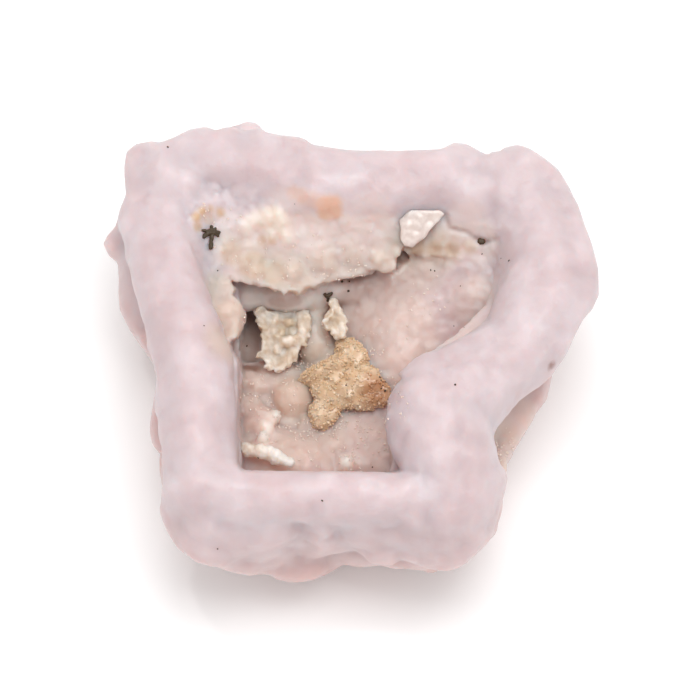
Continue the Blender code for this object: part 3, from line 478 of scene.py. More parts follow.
for points in ROLLS.values():
    one = roll(tree, place, spots(points))
    rim = add_node(tree, "ShaderNodeMath", (rim, one, size["Rim softness"]), operation="SMOOTH_MIN")
rim = knobbly(tree, place, rim, size, "Botryoid")
stone = add_node(tree, "ShaderNodeMath", (mass, rim, size["Mass softness"]), operation="SMOOTH_MIN")
for stem in WEB:
    stem = roll(tree, place, spots(stem))
    stone = add_node(tree, "ShaderNodeMath", (stone, stem, SOFT["web"]), operation="SMOOTH_MIN")
ledge = leaf(tree, place, "ledge_outline", LEDGE, LEDGE_LIE, LEDGE_HALF, LEDGE_LIP, size)
ledge = lumps(tree, place, spots(LEDGE_SWELLS), SOFT["swells"], ledge)
ledge = lumps(tree, place, spots(LEDGE_ROOT), SOFT["roots"], ledge)
stone = add_node(tree, "ShaderNodeMath", (stone, ledge, SOFT["ledges"]), operation="SMOOTH_MIN")
shelf = leaf(tree, place, "shelf_outline", SHELF, SHELF_LIE, SHELF_HALF, 0.0, size)
shelf = lumps(tree, place, spots(SHELF_ROOT), SOFT["roots"], shelf)
stone = add_node(tree, "ShaderNodeMath", (stone, shelf, SOFT["ledges"]), operation="SMOOTH_MIN")
for label in ("Uneven", "Grain"):
    fineness = add_node(tree, "ShaderNodeMath", (1.0, size[f"{label} size"]), operation="DIVIDE")
    waves = add_node(
        tree, "ShaderNodeTexNoise", {"Vector": place, "Scale": fineness, "Detail": 2.0, "Roughness": 0.5}
    )
    waves = add_node(tree, "ShaderNodeMath", (waves, -4.0, 2.0), operation="MULTIPLY_ADD")
    stone = add_node(tree, "ShaderNodeMath", (waves, size[f"{label} depth"], stone), operation="MULTIPLY_ADD")
for label, runs in (("Crack", CRACKS), ("Fold", FOLDS), ("Crust", CRUSTS)):
    lines = seen_guide(tree, f"{label.lower()}_lines", runs, False)
    near = {0: lines, "Sample Position": seen_at(tree, place)}
    beside = add_node(tree, "GeometryNodeProximity", near, out="Distance", target_element="EDGES")
    width, depth = size[f"{label} width"], size[f"{label} depth"]
    sunk = {"Value": beside, "From Max": width, "To Min": depth, "To Max": 0.0}
    sunk = add_node(tree, "ShaderNodeMapRange", sunk, interpolation_type="SMOOTHSTEP")
    stone = add_node(tree, "ShaderNodeMath", (stone, sunk), operation="ADD")
# The stone fills its outline: it swells a little in a band along the outline and is then cut back to it.
outline = seen_edge(tree, place, "face_outline", OUTLINE)
band = add_node(tree, "ShaderNodeMath", (outline,), operation="ABSOLUTE")
band = {"Value": band, "From Max": size["Outline band"], "To Min": size["Outline growth"], "To Max": 0.0}
band = add_node(tree, "ShaderNodeMapRange", band, interpolation_type="SMOOTHSTEP")
stone = add_node(tree, "ShaderNodeMath", (stone, band), operation="SUBTRACT")
outline = add_node(tree, "ShaderNodeMath", (outline, OUTLINE_SLACK), operation="SUBTRACT")
stone = add_node(tree, "ShaderNodeMath", (stone, outline, SOFT["outline"]), operation="SMOOTH_MAX")
height = add_node(tree, "ShaderNodeSeparateXYZ", (place,), out=2)
for name, corners, floor, soft, wavy in CARVED:
    edge = seen_edge(tree, place, name, corners)
    low = add_node(tree, "ShaderNodeMath", (floor, height), operation="SUBTRACT")
    edge = add_node(tree, "ShaderNodeMath", (edge, low), operation="MAXIMUM")
    edge = add_node(tree, "ShaderNodeMath", (edge, -1.0), operation="MULTIPLY")
    if wavy:
        edge = knobbly(tree, place, edge, size, "Scallop", "F1")
    stone = add_node(tree, "ShaderNodeMath", (stone, edge, soft), operation="SMOOTH_MAX")
# The sugary grain of the ledges and of the hollow's lining, which fades out on the smooth rolls.
inside = add_node(tree, "ShaderNodeMapRange", {"Value": hollow, "From Min": 0.6, "From Max": -1.0})
on_ledge = add_node(tree, "ShaderNodeMapRange", {"Value": ledge, "From Min": 1.2, "From Max": 0.2})
sugared = add_node(tree, "ShaderNodeMath", (inside, on_ledge), operation="MAXIMUM")
fineness = add_node(tree, "ShaderNodeMath", (1.0, size["Sugar size"]), operation="DIVIDE")
grains = add_node(tree, "ShaderNodeTexVoronoi", {"Vector": place, "Scale": fineness}, out="Distance")
grains = add_node(tree, "ShaderNodeMath", (grains, 2.0, -1.0), operation="MULTIPLY_ADD")
grains = add_node(tree, "ShaderNodeMath", (grains, size["Sugar depth"]), operation="MULTIPLY")
stone = add_node(tree, "ShaderNodeMath", (grains, sugared, stone), operation="MULTIPLY_ADD")
# The stone rests on a flat base.
below = add_node(tree, "ShaderNodeSeparateXYZ", (place,), out=2)
below = add_node(tree, "ShaderNodeMath", (below, -1.0), operation="MULTIPLY")
stone = add_node(tree, "ShaderNodeMath", (stone, below), operation="MAXIMUM")


def skin(tree, form, room, cell):
    """The surface that lies where the distance is nought, in metres."""
    low, high = room
    density = add_node(tree, "ShaderNodeMath", (form, -1.0), operation="MULTIPLY")
    counts = {}
    for at, axis in enumerate("XYZ"):
        count = (high[at] - low[at], cell)
        counts[f"Resolution {axis}"] = add_node(tree, "ShaderNodeMath", count, operation="DIVIDE")
    field = {"Density": density, "Background": -1.0, "Min": low, "Max": high, **counts}
    cube = add_node(tree, "GeometryNodeVolumeCube", field)
    surface = add_node(tree, "GeometryNodeVolumeToMesh", {"Volume": cube, "Threshold": 0.0})
    return add_node(tree, "GeometryNodeTransform", {"Geometry": surface, "Scale": (MM, MM, MM)})


def ended(tree, surface, finish):
    """Ends the tree with a surface in its finish."""
    surface = add_node(tree, "GeometryNodeRealizeInstances", (surface,))
    surface = add_node(tree, "GeometryNodeSetMaterial", {"Geometry": surface, "Material": finish})
    add_node(tree, "NodeGroupOutput", (surface,))


CRUMB = 0.08


def grown(name, tree, sizes, triangles=None):
    """The plain mesh that a tree makes: smooth, crumb-free, at most so many triangles, or as it is."""
    made = bpy.data.objects.new(name, bpy.data.meshes.new(name))
    bpy.context.scene.collection.objects.link(made)
    form = made.modifiers.new("Form", "NODES")
    form.node_group = tree
    for item in tree.interface.items_tree:
        if item.in_out == "INPUT":
            form[item.identifier] = sizes[item.name]
    made.data = bpy.data.meshes.new_from_object(made.evaluated_get(bpy.context.evaluated_depsgraph_get()))
    made.modifiers.clear()
    if triangles:
        drop_crumbs(made.data)
        fewer = made.modifiers.new("Fewer faces", "DECIMATE")
        fewer.ratio = min(1.0, triangles / (2 * len(made.data.polygons)))
        made.data = bpy.data.meshes.new_from_object(made.evaluated_get(bpy.context.evaluated_depsgraph_get()))
        made.modifiers.clear()
    made.data.polygons.foreach_set("use_smooth", [bool(triangles)] * len(made.data.polygons))
    made.data.name = name
    return made


def drop_crumbs(mesh):
    """Takes bubbles and loose crumbs out of a mesh: each shell much smaller than the largest."""
    shells = np.arange(len(mesh.vertices))
    edges = np.empty(len(mesh.edges) * 2, np.int32)
    mesh.edges.foreach_get("vertices", edges)
    first, second = edges[0::2], edges[1::2]
    while True:
        lowest = np.minimum(shells[first], shells[second])
        if (lowest == shells[first]).all() and (lowest == shells[second]).all():
            break
        np.minimum.at(shells, first, lowest)
        np.minimum.at(shells, second, lowest)
        shells = shells[shells]
    counts = np.bincount(shells, minlength=len(shells))
    crumbs = np.flatnonzero(counts[shells] < CRUMB * counts.max())
    if len(crumbs):
        kept = bmesh.new()
        kept.from_mesh(mesh)
        kept.verts.ensure_lookup_table()
        bmesh.ops.delete(kept, geom=[kept.verts[at] for at in crumbs], context="VERTS")
        kept.to_mesh(mesh)
        kept.free()


def linear(colour):
    """An sRGB hex colour as the linear values that a shader takes."""
    parts = [int(colour[at : at + 2], 16) / 255 for at in (1, 3, 5)]
    return (*[part / 12.92 if part < 0.04045 else ((part + 0.055) / 1.055) ** 2.4 for part in parts], 1.0)


def clouded(shade, place, size, detail, colours, low=0.0, high=1.0):
    """A cloudy mix of two colours in patches of a size in mm, which changes over between two levels."""
    cloud = {"Vector": place, "Scale": 1 / (size * MM), "Detail": detail}
    cloud = add_node(shade, "ShaderNodeTexNoise", cloud)
    cloud = add_node(shade, "ShaderNodeMapRange", {"Value": cloud, "From Min": low, "From Max": high})
    first, second = [linear(colour) for colour in colours]
    return add_node(shade, "ShaderNodeMix", {0: cloud, 6: first, 7: second}, out=2, data_type="RGBA")


sight_line = Vector((0, math.cos(SIGHT), -math.sin(SIGHT)))


def hit_tree(piece):
    """A piece of the specimen, ready for sight lines to meet it."""
    return bvhtree.BVHTree.FromObject(piece, bpy.context.evaluated_depsgraph_get())


def on_skin(hits, across, up):
    """Where the sight line of a spot of the face first meets the surfaces, in mm, and how they face there."""
    start = spot(across, up, FACE_HEIGHT) * MM - sight_line
    met = [hit.ray_cast(start, sight_line) for hit in hits]
    met = [one for one in met if one[0] is not None]
    if not met:
        return None
    place, facing, _, _ = min(met, key=lambda one: one[3])
    return place / MM, facing


def paint(piece, strokes_of):
    """Stores how strongly named (across, up, radius, strength) strokes touch each corner of a piece."""
    hits = [hit_tree(piece)]
    corners = np.empty(len(piece.data.vertices) * 3, np.float32)
    piece.data.vertices.foreach_get("co", corners)
    corners = corners.reshape(-1, 3) / MM
    for name, (strokes, fade) in strokes_of.items():
        touched = np.zeros(len(corners), np.float32)
        for across, up, radius, strength in strokes:
            met = on_skin(hits, across, up)
            if met:
                away = np.linalg.norm(corners - np.array(met[0]), axis=1)
                touched = np.maximum(touched, strength * np.clip((radius + fade - away) / fade, 0, 1))
        piece.data.attributes.new(name, "FLOAT", "POINT").data.foreach_set("value", touched)


# Pink chalcedony as it grew: a satin, slightly waxy skin over a milky, see-into body, so that light goes a
# few millimetres in and softens every shadow. Cloudy paler patches run through it. Its lower part is painted
# darker and warmer, as painted shade.
# Paler strokes. On the worm ridge and the white dots they are the stone's own paler colour; the rest are
# painted light that lifts shaded spots under and behind the ledge, on the shelf and in the hollow.
PALE_AND_PAINTED_LIGHT_STROKES = (
    (-5.5, 14.0, 3.0, 0.8), (-1.0, 14.2, 3.0, 0.8), (3.4, 14.4, 2.6, 0.8), (-10.0, 14.4, 3.0, 0.7),
    (-14.5, 14.6, 2.0, 0.4), (-8.0, 17.5, 2.0, 0.4), (-2.0, 16.6, 2.0, 0.4), (2.5, 17.0, 2.0, 0.4),
    (9.5, 13.0, 1.6, 0.6), (12.5, 13.6, 2.4, 0.7), (16.0, 13.8, 2.4, 0.6), (14.5, 16.0, 2.0, 0.4),
    (-11.0, 6.8, 2.0, 0.9), (-7.0, 6.6, 2.0, 0.9), (-3.4, 7.2, 1.6, 0.7), (-3.2, 3.4, 2.0, 0.4),
    (-12.4, 2.0, 2.0, 0.6), (-12.6, -0.8, 1.6, 0.6), (-10.5, -9.8, 0.6, 0.7), (-10.9, -11.0, 0.5, 0.7),
    (-9.3, -8.3, 0.4, 0.6), (-0.4, -14.0, 0.5, 0.9), (0.8, -13.6, 0.3, 0.7), (8.0, 3.0, 2.4, 0.3),
    (16.2, 7.4, 0.8, 0.5),
)
WHITE_STROKES = (
    (-9.7, 16.1, 1.3, 1.0), (-8.6, 15.1, 0.9, 0.9), (-11.3, 16.1, 0.9, 0.7), (-12.7, 15.7, 0.7, 0.5),
    (-7.9, 14.2, 0.5, 0.7), (-9.8, 14.6, 0.8, 0.5), (-10.5, -9.7, 0.7, 0.7), (-10.9, -11.0, 0.6, 0.7),
    (-9.3, -8.3, 0.5, 0.6), (-0.4, -14.0, 0.4, 0.8),
)
CREAM_STROKES = (
    (-14.5, 12.4, 1.6, 0.6), (-12.0, 10.4, 1.8, 0.8), (-9.0, 9.4, 1.8, 0.9), (-6.5, 9.0, 1.6, 0.9),
    (-3.0, 10.0, 1.4, 0.8), (0.5, 10.6, 1.2, 0.7), (4.0, 11.0, 1.2, 0.7), (-9.5, 15.8, 1.0, 0.4),
    (-15.8, 7.0, 1.8, 0.8), (-15.0, 4.0, 2.2, 0.9), (-15.6, 1.0, 1.6, 0.7), (7.0, 12.8, 1.6, 0.8),
    (11.0, 12.8, 1.6, 0.8),
)
ORANGE_STROKES = (
    (-7.0, 19.6, 0.6, 0.4), (-6.0, 19.2, 0.8, 0.45), (-5.0, 18.8, 0.9, 0.4), (-4.0, 18.4, 0.9, 0.45),
    (-3.2, 18.2, 0.9, 0.8), (-2.2, 18.2, 0.9, 0.9), (-3.0, 17.2, 0.9, 0.9), (-2.1, 17.3, 0.9, 0.9),
)
GOLDEN_STROKES = (
    (-19.1, 16.6, 0.4, 0.8), (-18.4, 17.3, 0.3, 0.8), (-17.4, 17.6, 0.2, 0.6), (-16.2, 17.2, 0.3, 0.7),
    (-19.0, 15.4, 0.4, 0.6), (-17.6, 16.4, 0.5, 0.4), (-10.9, 13.7, 0.4, 0.4), (-9.8, 13.6, 0.3, 0.4),
    (-14.8, 12.0, 1.2, 0.25), (-12.0, 10.6, 1.4, 0.25), (-9.6, 9.6, 1.2, 0.2), (8.4, 12.8, 0.7, 0.35),
    (10.6, 12.7, 0.7, 0.35), (12.8, 12.6, 0.7, 0.35), (15.0, 12.8, 0.7, 0.3),
)


def traced(line, radius, strength, step=0.35):
    """Strokes close together along a line on the face."""
    strokes = []
    for start, end in zip(line, line[1:]):
        start, end = Vector(start), Vector(end)
        count = math.ceil((end - start).length / step)
        strokes += [(*start.lerp(end, at / count), radius, strength) for at in range(count)]
    return strokes


# Rust-brown strokes: iron stain along the crack, the seam and the ledge's lower edge, and painted shade in
# the deep hole and in the dark gaps under and beside the ledge.
RUST_AND_PAINTED_SHADE_STROKES = (
    *traced(CRACKS[0], 0.05, 0.4), *traced(((5.6, -14.4), (8.8, -15.0), (9.4, -16.9)), 0.05, 0.12),
    *traced(((-1.6, 8.6), (0.0, 8.9), (1.6, 9.1), (3.2, 9.5)), 0.2, 0.4),
    *traced(((6.0, 10.8), (7.0, 11.8), (8.8, 11.9)), 0.4, 0.35),
    *traced(((-2.6, 5.6), (-2.5, 4.9), (-3.3, 4.1)), 0.15, 0.9),
    *traced(((-2.2, 2.2), (-1.5, 1.4), (-1.2, 0.2), (-1.8, -0.9)), 0.3, 0.8),
    *traced(((-12.3, 3.6), (-12.4, 1.6), (-12.6, -1.2)), 1.0, 0.55),
    *traced(((-13.0, -2.2), (-11.2, -2.4)), 0.3, 0.8),
    *traced(((-9.6, 6.0), (-8.0, 5.8), (-6.4, 6.2)), 0.5, 0.35), (24.9, -1.9, 0.3, 0.7),
    *traced(((2.6, 8.9), (1.6, 7.6), (1.2, 6.2)), 0.8, 0.14), (11.0, 12.6, 0.4, 0.2), (13.0, 12.7, 0.4, 0.2),
)
# Painted shade: darker, warmer strokes in the hollow, under the ledge and in the gap low on the right. On the
# floor they also give its own greyer, see-into colour.
PAINTED_SHADE_STROKES = (
    (-10.0, 5.0, 2.0, 0.3), (-4.5, 5.0, 2.0, 0.6), (0.0, 6.5, 3.0, 0.4), (4.5, 7.5, 3.0, 0.4),
    (-12.0, 0.0, 2.0, 0.5), (-10.5, -5.5, 3.5, 0.55), (-9.5, -10.5, 3.5, 0.5), (-4.0, -10.5, 3.5, 0.55),
    (0.0, -12.5, 3.5, 0.4), (2.5, -12.0, 3.0, 0.4), (-5.0, 1.5, 3.5, 0.8), (5.0, 4.0, 4.0, 0.45),
    (7.0, -1.0, 3.5, 0.45), (-6.5, -5.5, 3.0, 0.8), (13.5, 2.0, 2.5, 0.3), (16.0, 6.0, 2.5, 0.3),
    (8.0, 10.5, 2.5, 0.5), (-8.5, -13.0, 2.5, 0.6), (22.0, -8.0, 1.5, 0.4), (19.0, -14.0, 1.2, 0.5),
    (19.0, -10.5, 1.0, 0.6),
)

SUGAR_STROKES = (
    (-12.0, 12.0, 3.0, 0.12), (-6.0, 10.5, 3.0, 0.12), (0.0, 11.5, 3.0, 0.12), (-15.0, 4.0, 2.0, 0.12),
    (-5.5, -2.6, 1.2, 1.0), (-4.0, -1.4, 1.2, 1.0), (-6.5, -5.0, 2.5, 0.5), (-11.0, -6.0, 3.0, 0.25),
    (-9.5, -9.5, 2.5, 0.35), (-4.5, -11.0, 2.5, 0.5), (-1.0, -9.5, 2.0, 0.6), (1.5, -11.0, 2.5, 0.45),
    (-0.4, -14.0, 0.8, 1.0), (5.5, -4.5, 1.2, 0.6), (5.5, -7.0, 1.0, 0.5), (2.8, 0.5, 1.5, 0.35),
    (10.0, 5.0, 3.0, 0.1), (-6.0, 2.5, 2.0, 0.3), (-4.0, 0.0, 1.5, 0.5), (18.8, -11.4, 0.5, 1.0),
    (19.0, -13.0, 0.4, 1.0), (-17.0, 15.5, 2.0, 0.15),
)


def new_finish(name, roughness, depth, spread):
    """A see-into stone finish: its Principled surface and the place that its patterns read."""
    made = bpy.data.materials.new(name)
    made.use_nodes = True
    surface = made.node_tree.nodes["Principled BSDF"]
    surface.inputs["IOR"].default_value = 1.54
    surface.inputs["Roughness"].default_value = roughness
    surface.inputs["Subsurface Weight"].default_value = 1.0
    surface.inputs["Subsurface Scale"].default_value = depth * MM
    surface.inputs["Subsurface Radius"].default_value = spread
    return made, made.node_tree, surface, add_node(made.node_tree, "ShaderNodeTexCoord", out="Object")


pink_chalcedony, shade, surface, place = new_finish(
    "pink_chalcedony_natural_skin", 0.5, 5.0, (1.0, 0.58, 0.48)
)
CLOUD = 5.0
colour = clouded(shade, place, CLOUD, 4.0, ("#c9b6b8", "#d0c3c6"), 0.35, 0.7)
height = add_node(shade, "ShaderNodeSeparateXYZ", (place,), out=2)
# Painted shade: from 24 mm high down to 6 mm the colour turns darker and warmer, for the shade on the lower
# walls.
SHADED_BASE_TOP = 24.0
SHADED_BASE_BOTTOM = 6.0
low = {"Value": height, "From Min": SHADED_BASE_TOP * MM, "From Max": SHADED_BASE_BOTTOM * MM, "To Max": 0.9}
low = add_node(shade, "ShaderNodeMapRange", low)
colour = {0: low, 6: colour, 7: linear("#cdafaa")}
colour = add_node(shade, "ShaderNodeMix", colour, out=2, data_type="RGBA")
# The painted tints, each laid over the ones before it. The warm shade tint is painted shade in the hollow
# and partly the floor's own greyer colour; the pale tint is partly painted light; the rust-brown tint is iron
# stain and partly painted shade. The white, cream, golden and orange tints are the stone's own colours.
for name, tint, strength in (
    ("shade", "#cfb9a8", 1.0), ("pale", "#ead9d2", 1.0), ("white", "#e9dbd0", 1.0), ("cream", "#ccb8a9", 0.9),
    ("golden", "#c79d66", 0.85), ("orange", "#e0b291", 0.75), ("rust", "#7d4b33", 0.9),
):
    touched = add_node(shade, "ShaderNodeAttribute", out="Fac", attribute_name=name)
    touched = add_node(shade, "ShaderNodeMath", (touched, strength), operation="MULTIPLY")
    colour = {0: touched, 6: colour, 7: linear(tint)}
    colour = add_node(shade, "ShaderNodeMix", colour, out=2, data_type="RGBA")
shade.links.new(colour, surface.inputs["Base Color"])
WAX = 0.45
wax = add_node(shade, "ShaderNodeTexNoise", {"Vector": place, "Scale": 1 / (WAX * MM), "Detail": 3.0})
dull = add_node(shade, "ShaderNodeMapRange", {"Value": wax, "To Min": 0.4, "To Max": 0.62})
shade.links.new(dull, surface.inputs["Roughness"])
bumped = {"Height": wax, "Strength": 0.35, "Distance": 0.08 * MM}
bumped = add_node(shade, "ShaderNodeBump", bumped, out="Normal")
PEEL = 1.1
peel = {"Vector": place, "Scale": 1 / (PEEL * MM)}
peel = add_node(shade, "ShaderNodeTexVoronoi", peel, feature="SMOOTH_F1")
bumped = {"Height": peel, "Strength": 0.3, "Distance": 0.15 * MM, "Normal": bumped}
bumped = add_node(shade, "ShaderNodeBump", bumped, out="Normal")
shade.links.new(bumped, surface.inputs["Normal"])

ended(tree, skin(tree, stone, STONE_ROOM, size["Cell"]), pink_chalcedony)
body = grown("chalcedony_stone", tree, STONE_SIZES, STONE_TRIANGLES)
# The masks to paint: shade is painted shade, pale partly painted light, and the rust-brown one partly painted
# shade.
paint(body, {
    "shade": (PAINTED_SHADE_STROKES, 3.0), "pale": (PALE_AND_PAINTED_LIGHT_STROKES, 1.6), "white": (WHITE_STROKES, 0.9),
    "cream": (CREAM_STROKES, 2.0), "golden": (GOLDEN_STROKES, 0.6), "orange": (ORANGE_STROKES, 0.5),
    "rust": (RUST_AND_PAINTED_SHADE_STROKES, 0.5), "sugary": (SUGAR_STROKES, 2.0),
})
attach(body, "root")
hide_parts("chalcedony_body")

# The lace in the hollow. Two ruffled cream plates of chalcedony stand up from the floor, with thick white
# rims and thin, see-into middles. A worm-like roll lies at the front.
LACE_LARGE = (
    (-12.2, 4.8), (-11.6, 5.1), (-11.0, 5.5), (-10.2, 5.1), (-9.4, 4.9), (-8.8, 4.8), (-8.1, 5.0),
    (-7.5, 5.2), (-7.1, 5.6), (-6.5, 5.9), (-5.0, 5.9), (-4.8, 5.5), (-5.0, 4.4), (-5.1, 3.1), (-5.2, 1.9),
    (-5.6, 0.7), (-6.2, 0.3), (-6.5, -0.3), (-6.7, -1.2), (-7.2, -1.8), (-8.1, -2.3), (-9.0, -2.7),
    (-10.0, -2.5), (-10.7, -2.2), (-10.6, -1.5), (-11.2, -0.9), (-12.0, -1.0), (-11.5, -0.3), (-11.0, 0.4),
    (-11.0, 1.2), (-11.2, 1.9), (-11.0, 2.5), (-11.5, 3.1), (-11.9, 3.8),
)
LACE_LARGE_LIE = ((-8.5, 3.3, 13.2), (0.0, 0.31), 0.04)
LACE_HALF = 0.3
LACE_LIP = 0.4
LACE_SMALL = (
    (-2.5, 6.2), (-1.9, 6.5), (-1.5, 5.9), (-1.1, 5.0), (-0.6, 4.2), (-0.4, 3.5), (-0.5, 2.5), (-0.8, 1.5),
    (-1.5, 1.2), (-2.0, 1.9), (-2.4, 2.4), (-3.0, 2.5), (-3.4, 3.0), (-3.5, 3.5), (-3.1, 4.2), (-2.6, 4.8),
    (-2.5, 5.5),
)
LACE_SMALL_LIE = ((-1.9, 4.4, 15.9), (0.0, 0.3), 0.0)
RIMS = (
    ((-11.6, 4.6, 14.0, 0.5), (-10.7, 2.8, 13.4, 0.6), (-10.3, 1.0, 12.9, 0.6), (-10.2, -0.6, 12.3, 0.6)),
    ((-10.0, -1.0, 12.2, 0.6), (-9.2, -1.9, 12.0, 0.6), (-8.0, -1.6, 12.2, 0.6), (-7.2, -0.6, 12.6, 0.6)),
    ((-6.2, 5.1, 14.3, 0.7), (-5.7, 4.0, 14.2, 0.85), (-5.8, 2.6, 13.8, 0.85), (-6.2, 1.2, 13.2, 0.7)),
    ((-8.6, 0.8, 13.2, 0.6), (-7.0, 1.2, 13.4, 0.7)),
    ((-1.6, 5.6, 16.4, 0.4), (-1.2, 4.2, 16.0, 0.45), (-1.0, 2.8, 15.6, 0.45)),
)
THIN_STROKES = (
    (-7.6, 3.4, 0.7, 0.8), (-8.3, 2.2, 0.5, 0.7), (-7.4, -0.3, 0.5, 0.6), (-9.3, 1.4, 0.5, 0.5),
    (-8.3, -1.3, 0.4, 0.5), (-11.0, 3.4, 0.5, 0.5), (-10.6, 1.6, 0.4, 0.5), (-2.2, 4.2, 0.5, 0.6),
    (-2.6, 3.2, 0.4, 0.5),
)
LACE_KNOBS = (
    (-8.2, 1.1, 13.6, 0.6), (-7.4, 1.3, 13.6, 0.55), (-5.6, 5.1, 14.5, 0.7), (-9.4, 3.6, 13.8, 0.7),
    (-7.8, 3.4, 13.9, 0.6), (-10.8, 4.2, 14.2, 0.6), (-9.2, 0.0, 12.8, 0.6), (-7.2, -0.2, 12.8, 0.6),
)
LACE_SIZES = {
    "Cell": 0.16, "Knob size": 0.9, "Knob depth": 0.22, "Ruffle size": 1.9, "Ruffle depth": 0.5,
    "Lip width": 0.9, "Scallop size": 0.8, "Scallop depth": 0.32,
}
LACE_TRIANGLES = 60000
LACE_ROOM = ((-14.5, -6.5, 8.0), (2.0, 10.5, 18.5))
WORM = (
    (-13.1, -12.0, 14.0, 0.5), (-12.6, -12.5, 14.2, 0.85), (-11.6, -12.4, 14.3, 0.8),
    (-11.0, -12.7, 14.5, 1.0), (-9.9, -12.8, 14.4, 0.8), (-9.2, -13.3, 14.5, 0.95),
    (-8.2, -13.6, 14.3, 0.75), (-7.3, -14.1, 14.2, 0.5),
)
# Painted light: pale strokes that lighten the worm where the front roll shades it.
WORM_PAINTED_LIGHT_STROKES = ((-11.2, -12.3, 1.2, 0.3), (-9.0, -13.2, 1.8, 0.7))
WORM_TRIANGLES = 30000
WORM_ROOM = ((-16.0, -17.5, 9.5), (-5.5, -4.5, 17.0))

# Cream chalcedony with a sugary skin: paler and less see-into than the pink, with a fine sparkle of grain.
cream_chalcedony, shade, surface, place = new_finish(
    "cream_chalcedony_sugary_skin", 0.4, 2.2, (1.0, 0.8, 0.65)
)
PATCH = 1.6
colour = clouded(shade, place, PATCH, 3.0, ("#ccb8a3", "#e6dace"), 0.36, 0.62)
# The pale tint is painted light on the worm, set by its pale strokes; the thin tint is the plates' see-into
# middles.
for name, tint in (("thin", "#c2ad94"), ("pale", "#f6efe8")):
    touched = add_node(shade, "ShaderNodeAttribute", out="Fac", attribute_name=name)
    colour = {0: touched, 6: colour, 7: linear(tint)}
    colour = add_node(shade, "ShaderNodeMix", colour, out=2, data_type="RGBA")
shade.links.new(colour, surface.inputs["Base Color"])
SUGAR = 0.3
sugar = add_node(shade, "ShaderNodeTexVoronoi", {"Vector": place, "Scale": 1 / (SUGAR * MM)}, out="Distance")
bumped = {"Height": sugar, "Strength": 0.5, "Distance": 0.08 * MM}
bumped = add_node(shade, "ShaderNodeBump", bumped, out="Normal")
shade.links.new(bumped, surface.inputs["Normal"])

tree, size, place = new_form("Lace", LACE_SIZES)
lace = leaf(tree, place, "large_lace_outline", LACE_LARGE, LACE_LARGE_LIE, LACE_HALF, LACE_LIP, size)
small = leaf(tree, place, "small_lace_outline", LACE_SMALL, LACE_SMALL_LIE, LACE_HALF, LACE_LIP, size)
lace = add_node(tree, "ShaderNodeMath", (lace, small), operation="MINIMUM")
for rim in RIMS:
    rim = roll(tree, place, spots(rim))
    lace = add_node(tree, "ShaderNodeMath", (lace, rim, SOFT["lace rims"]), operation="SMOOTH_MIN")
lace = lumps(tree, place, spots(LACE_KNOBS), SOFT["lace knobs"], lace)
for stem in WEB[:2]:
    stem = roll(tree, place, spots(stem))
    lace = add_node(tree, "ShaderNodeMath", (lace, stem, SOFT["lace stems"]), operation="SMOOTH_MIN")
lace = knobbly(tree, place, lace, size, "Knob")
ended(tree, skin(tree, lace, LACE_ROOM, size["Cell"]), cream_chalcedony)
lace = grown("lace_plates", tree, LACE_SIZES, LACE_TRIANGLES)
paint(lace, {"thin": (THIN_STROKES, 0.8)})

tree, size, place = new_form("Worm roll", LACE_SIZES)
worm = roll(tree, place, spots(WORM))
worm = knobbly(tree, place, worm, size, "Knob")
ended(tree, skin(tree, worm, WORM_ROOM, size["Cell"]), cream_chalcedony)
worm = grown("worm_roll", tree, LACE_SIZES, WORM_TRIANGLES)
paint(worm, {"pale": (WORM_PAINTED_LIGHT_STROKES, 1.0)})

for piece in (lace, worm):
    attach(piece, "root")
    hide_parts("chalcedony_body")

# The druse. A crust of tiny tan quartz crystals grew on the floor of the hollow: a lumpy bed, covered with
# short six-sided points that stand out from it. Iron has stained its right side orange-brown.
DRUSE_LUMPS = (
    (-0.6, -0.2, 12.4, 2.3), (0.6, -1.9, 12.2, 2.7), (-1.2, -2.8, 12.2, 2.9), (-3.5, -3.2, 11.8, 2.4),
    (-5.2, -3.4, 11.6, 1.7), (2.5, -4.4, 12.0, 2.6), (3.7, -5.4, 12.2, 2.0), (0.0, -5.2, 12.0, 2.8),
    (-2.8, -6.0, 11.8, 2.4), (-3.5, -8.3, 11.2, 2.2), (-2.5, -7.5, 11.4, 1.9), (1.9, -6.2, 11.6, 2.0),
)
DRUSE_OUTLINE = (
    (-1.5, 1.1), (-0.6, 1.3), (0.6, 1.3), (1.5, 0.9), (2.0, 0.0), (2.3, -1.3), (2.8, -2.0), (3.8, -2.8),
    (4.5, -3.5), (4.8, -4.5), (4.9, -6.0), (4.8, -6.8), (3.8, -7.1), (2.8, -7.3), (1.5, -7.6), (0.3, -7.3),
    (-0.6, -6.9), (-1.1, -7.5), (-1.8, -8.5), (-2.4, -9.3), (-3.0, -9.8), (-4.0, -10.0), (-4.6, -9.5),
    (-4.9, -8.1), (-4.8, -7.3), (-4.3, -6.5), (-4.0, -5.9), (-4.8, -5.3), (-5.1, -4.5), (-6.3, -3.8),
    (-5.9, -3.3), (-5.0, -2.5), (-4.0, -2.0), (-3.1, -1.5), (-2.1, -0.9), (-1.5, 0.0),
)
DRUSE_SIZES = {"Cell": 0.25, "Knob size": 1.7, "Knob depth": 0.5, "Points per mm2": 6.0, "Point": 0.25}
DRUSE_ROOM = ((-8.5, -12.0, 7.5), (8.0, 6.0, 19.0))
POINT_SIDES = 6

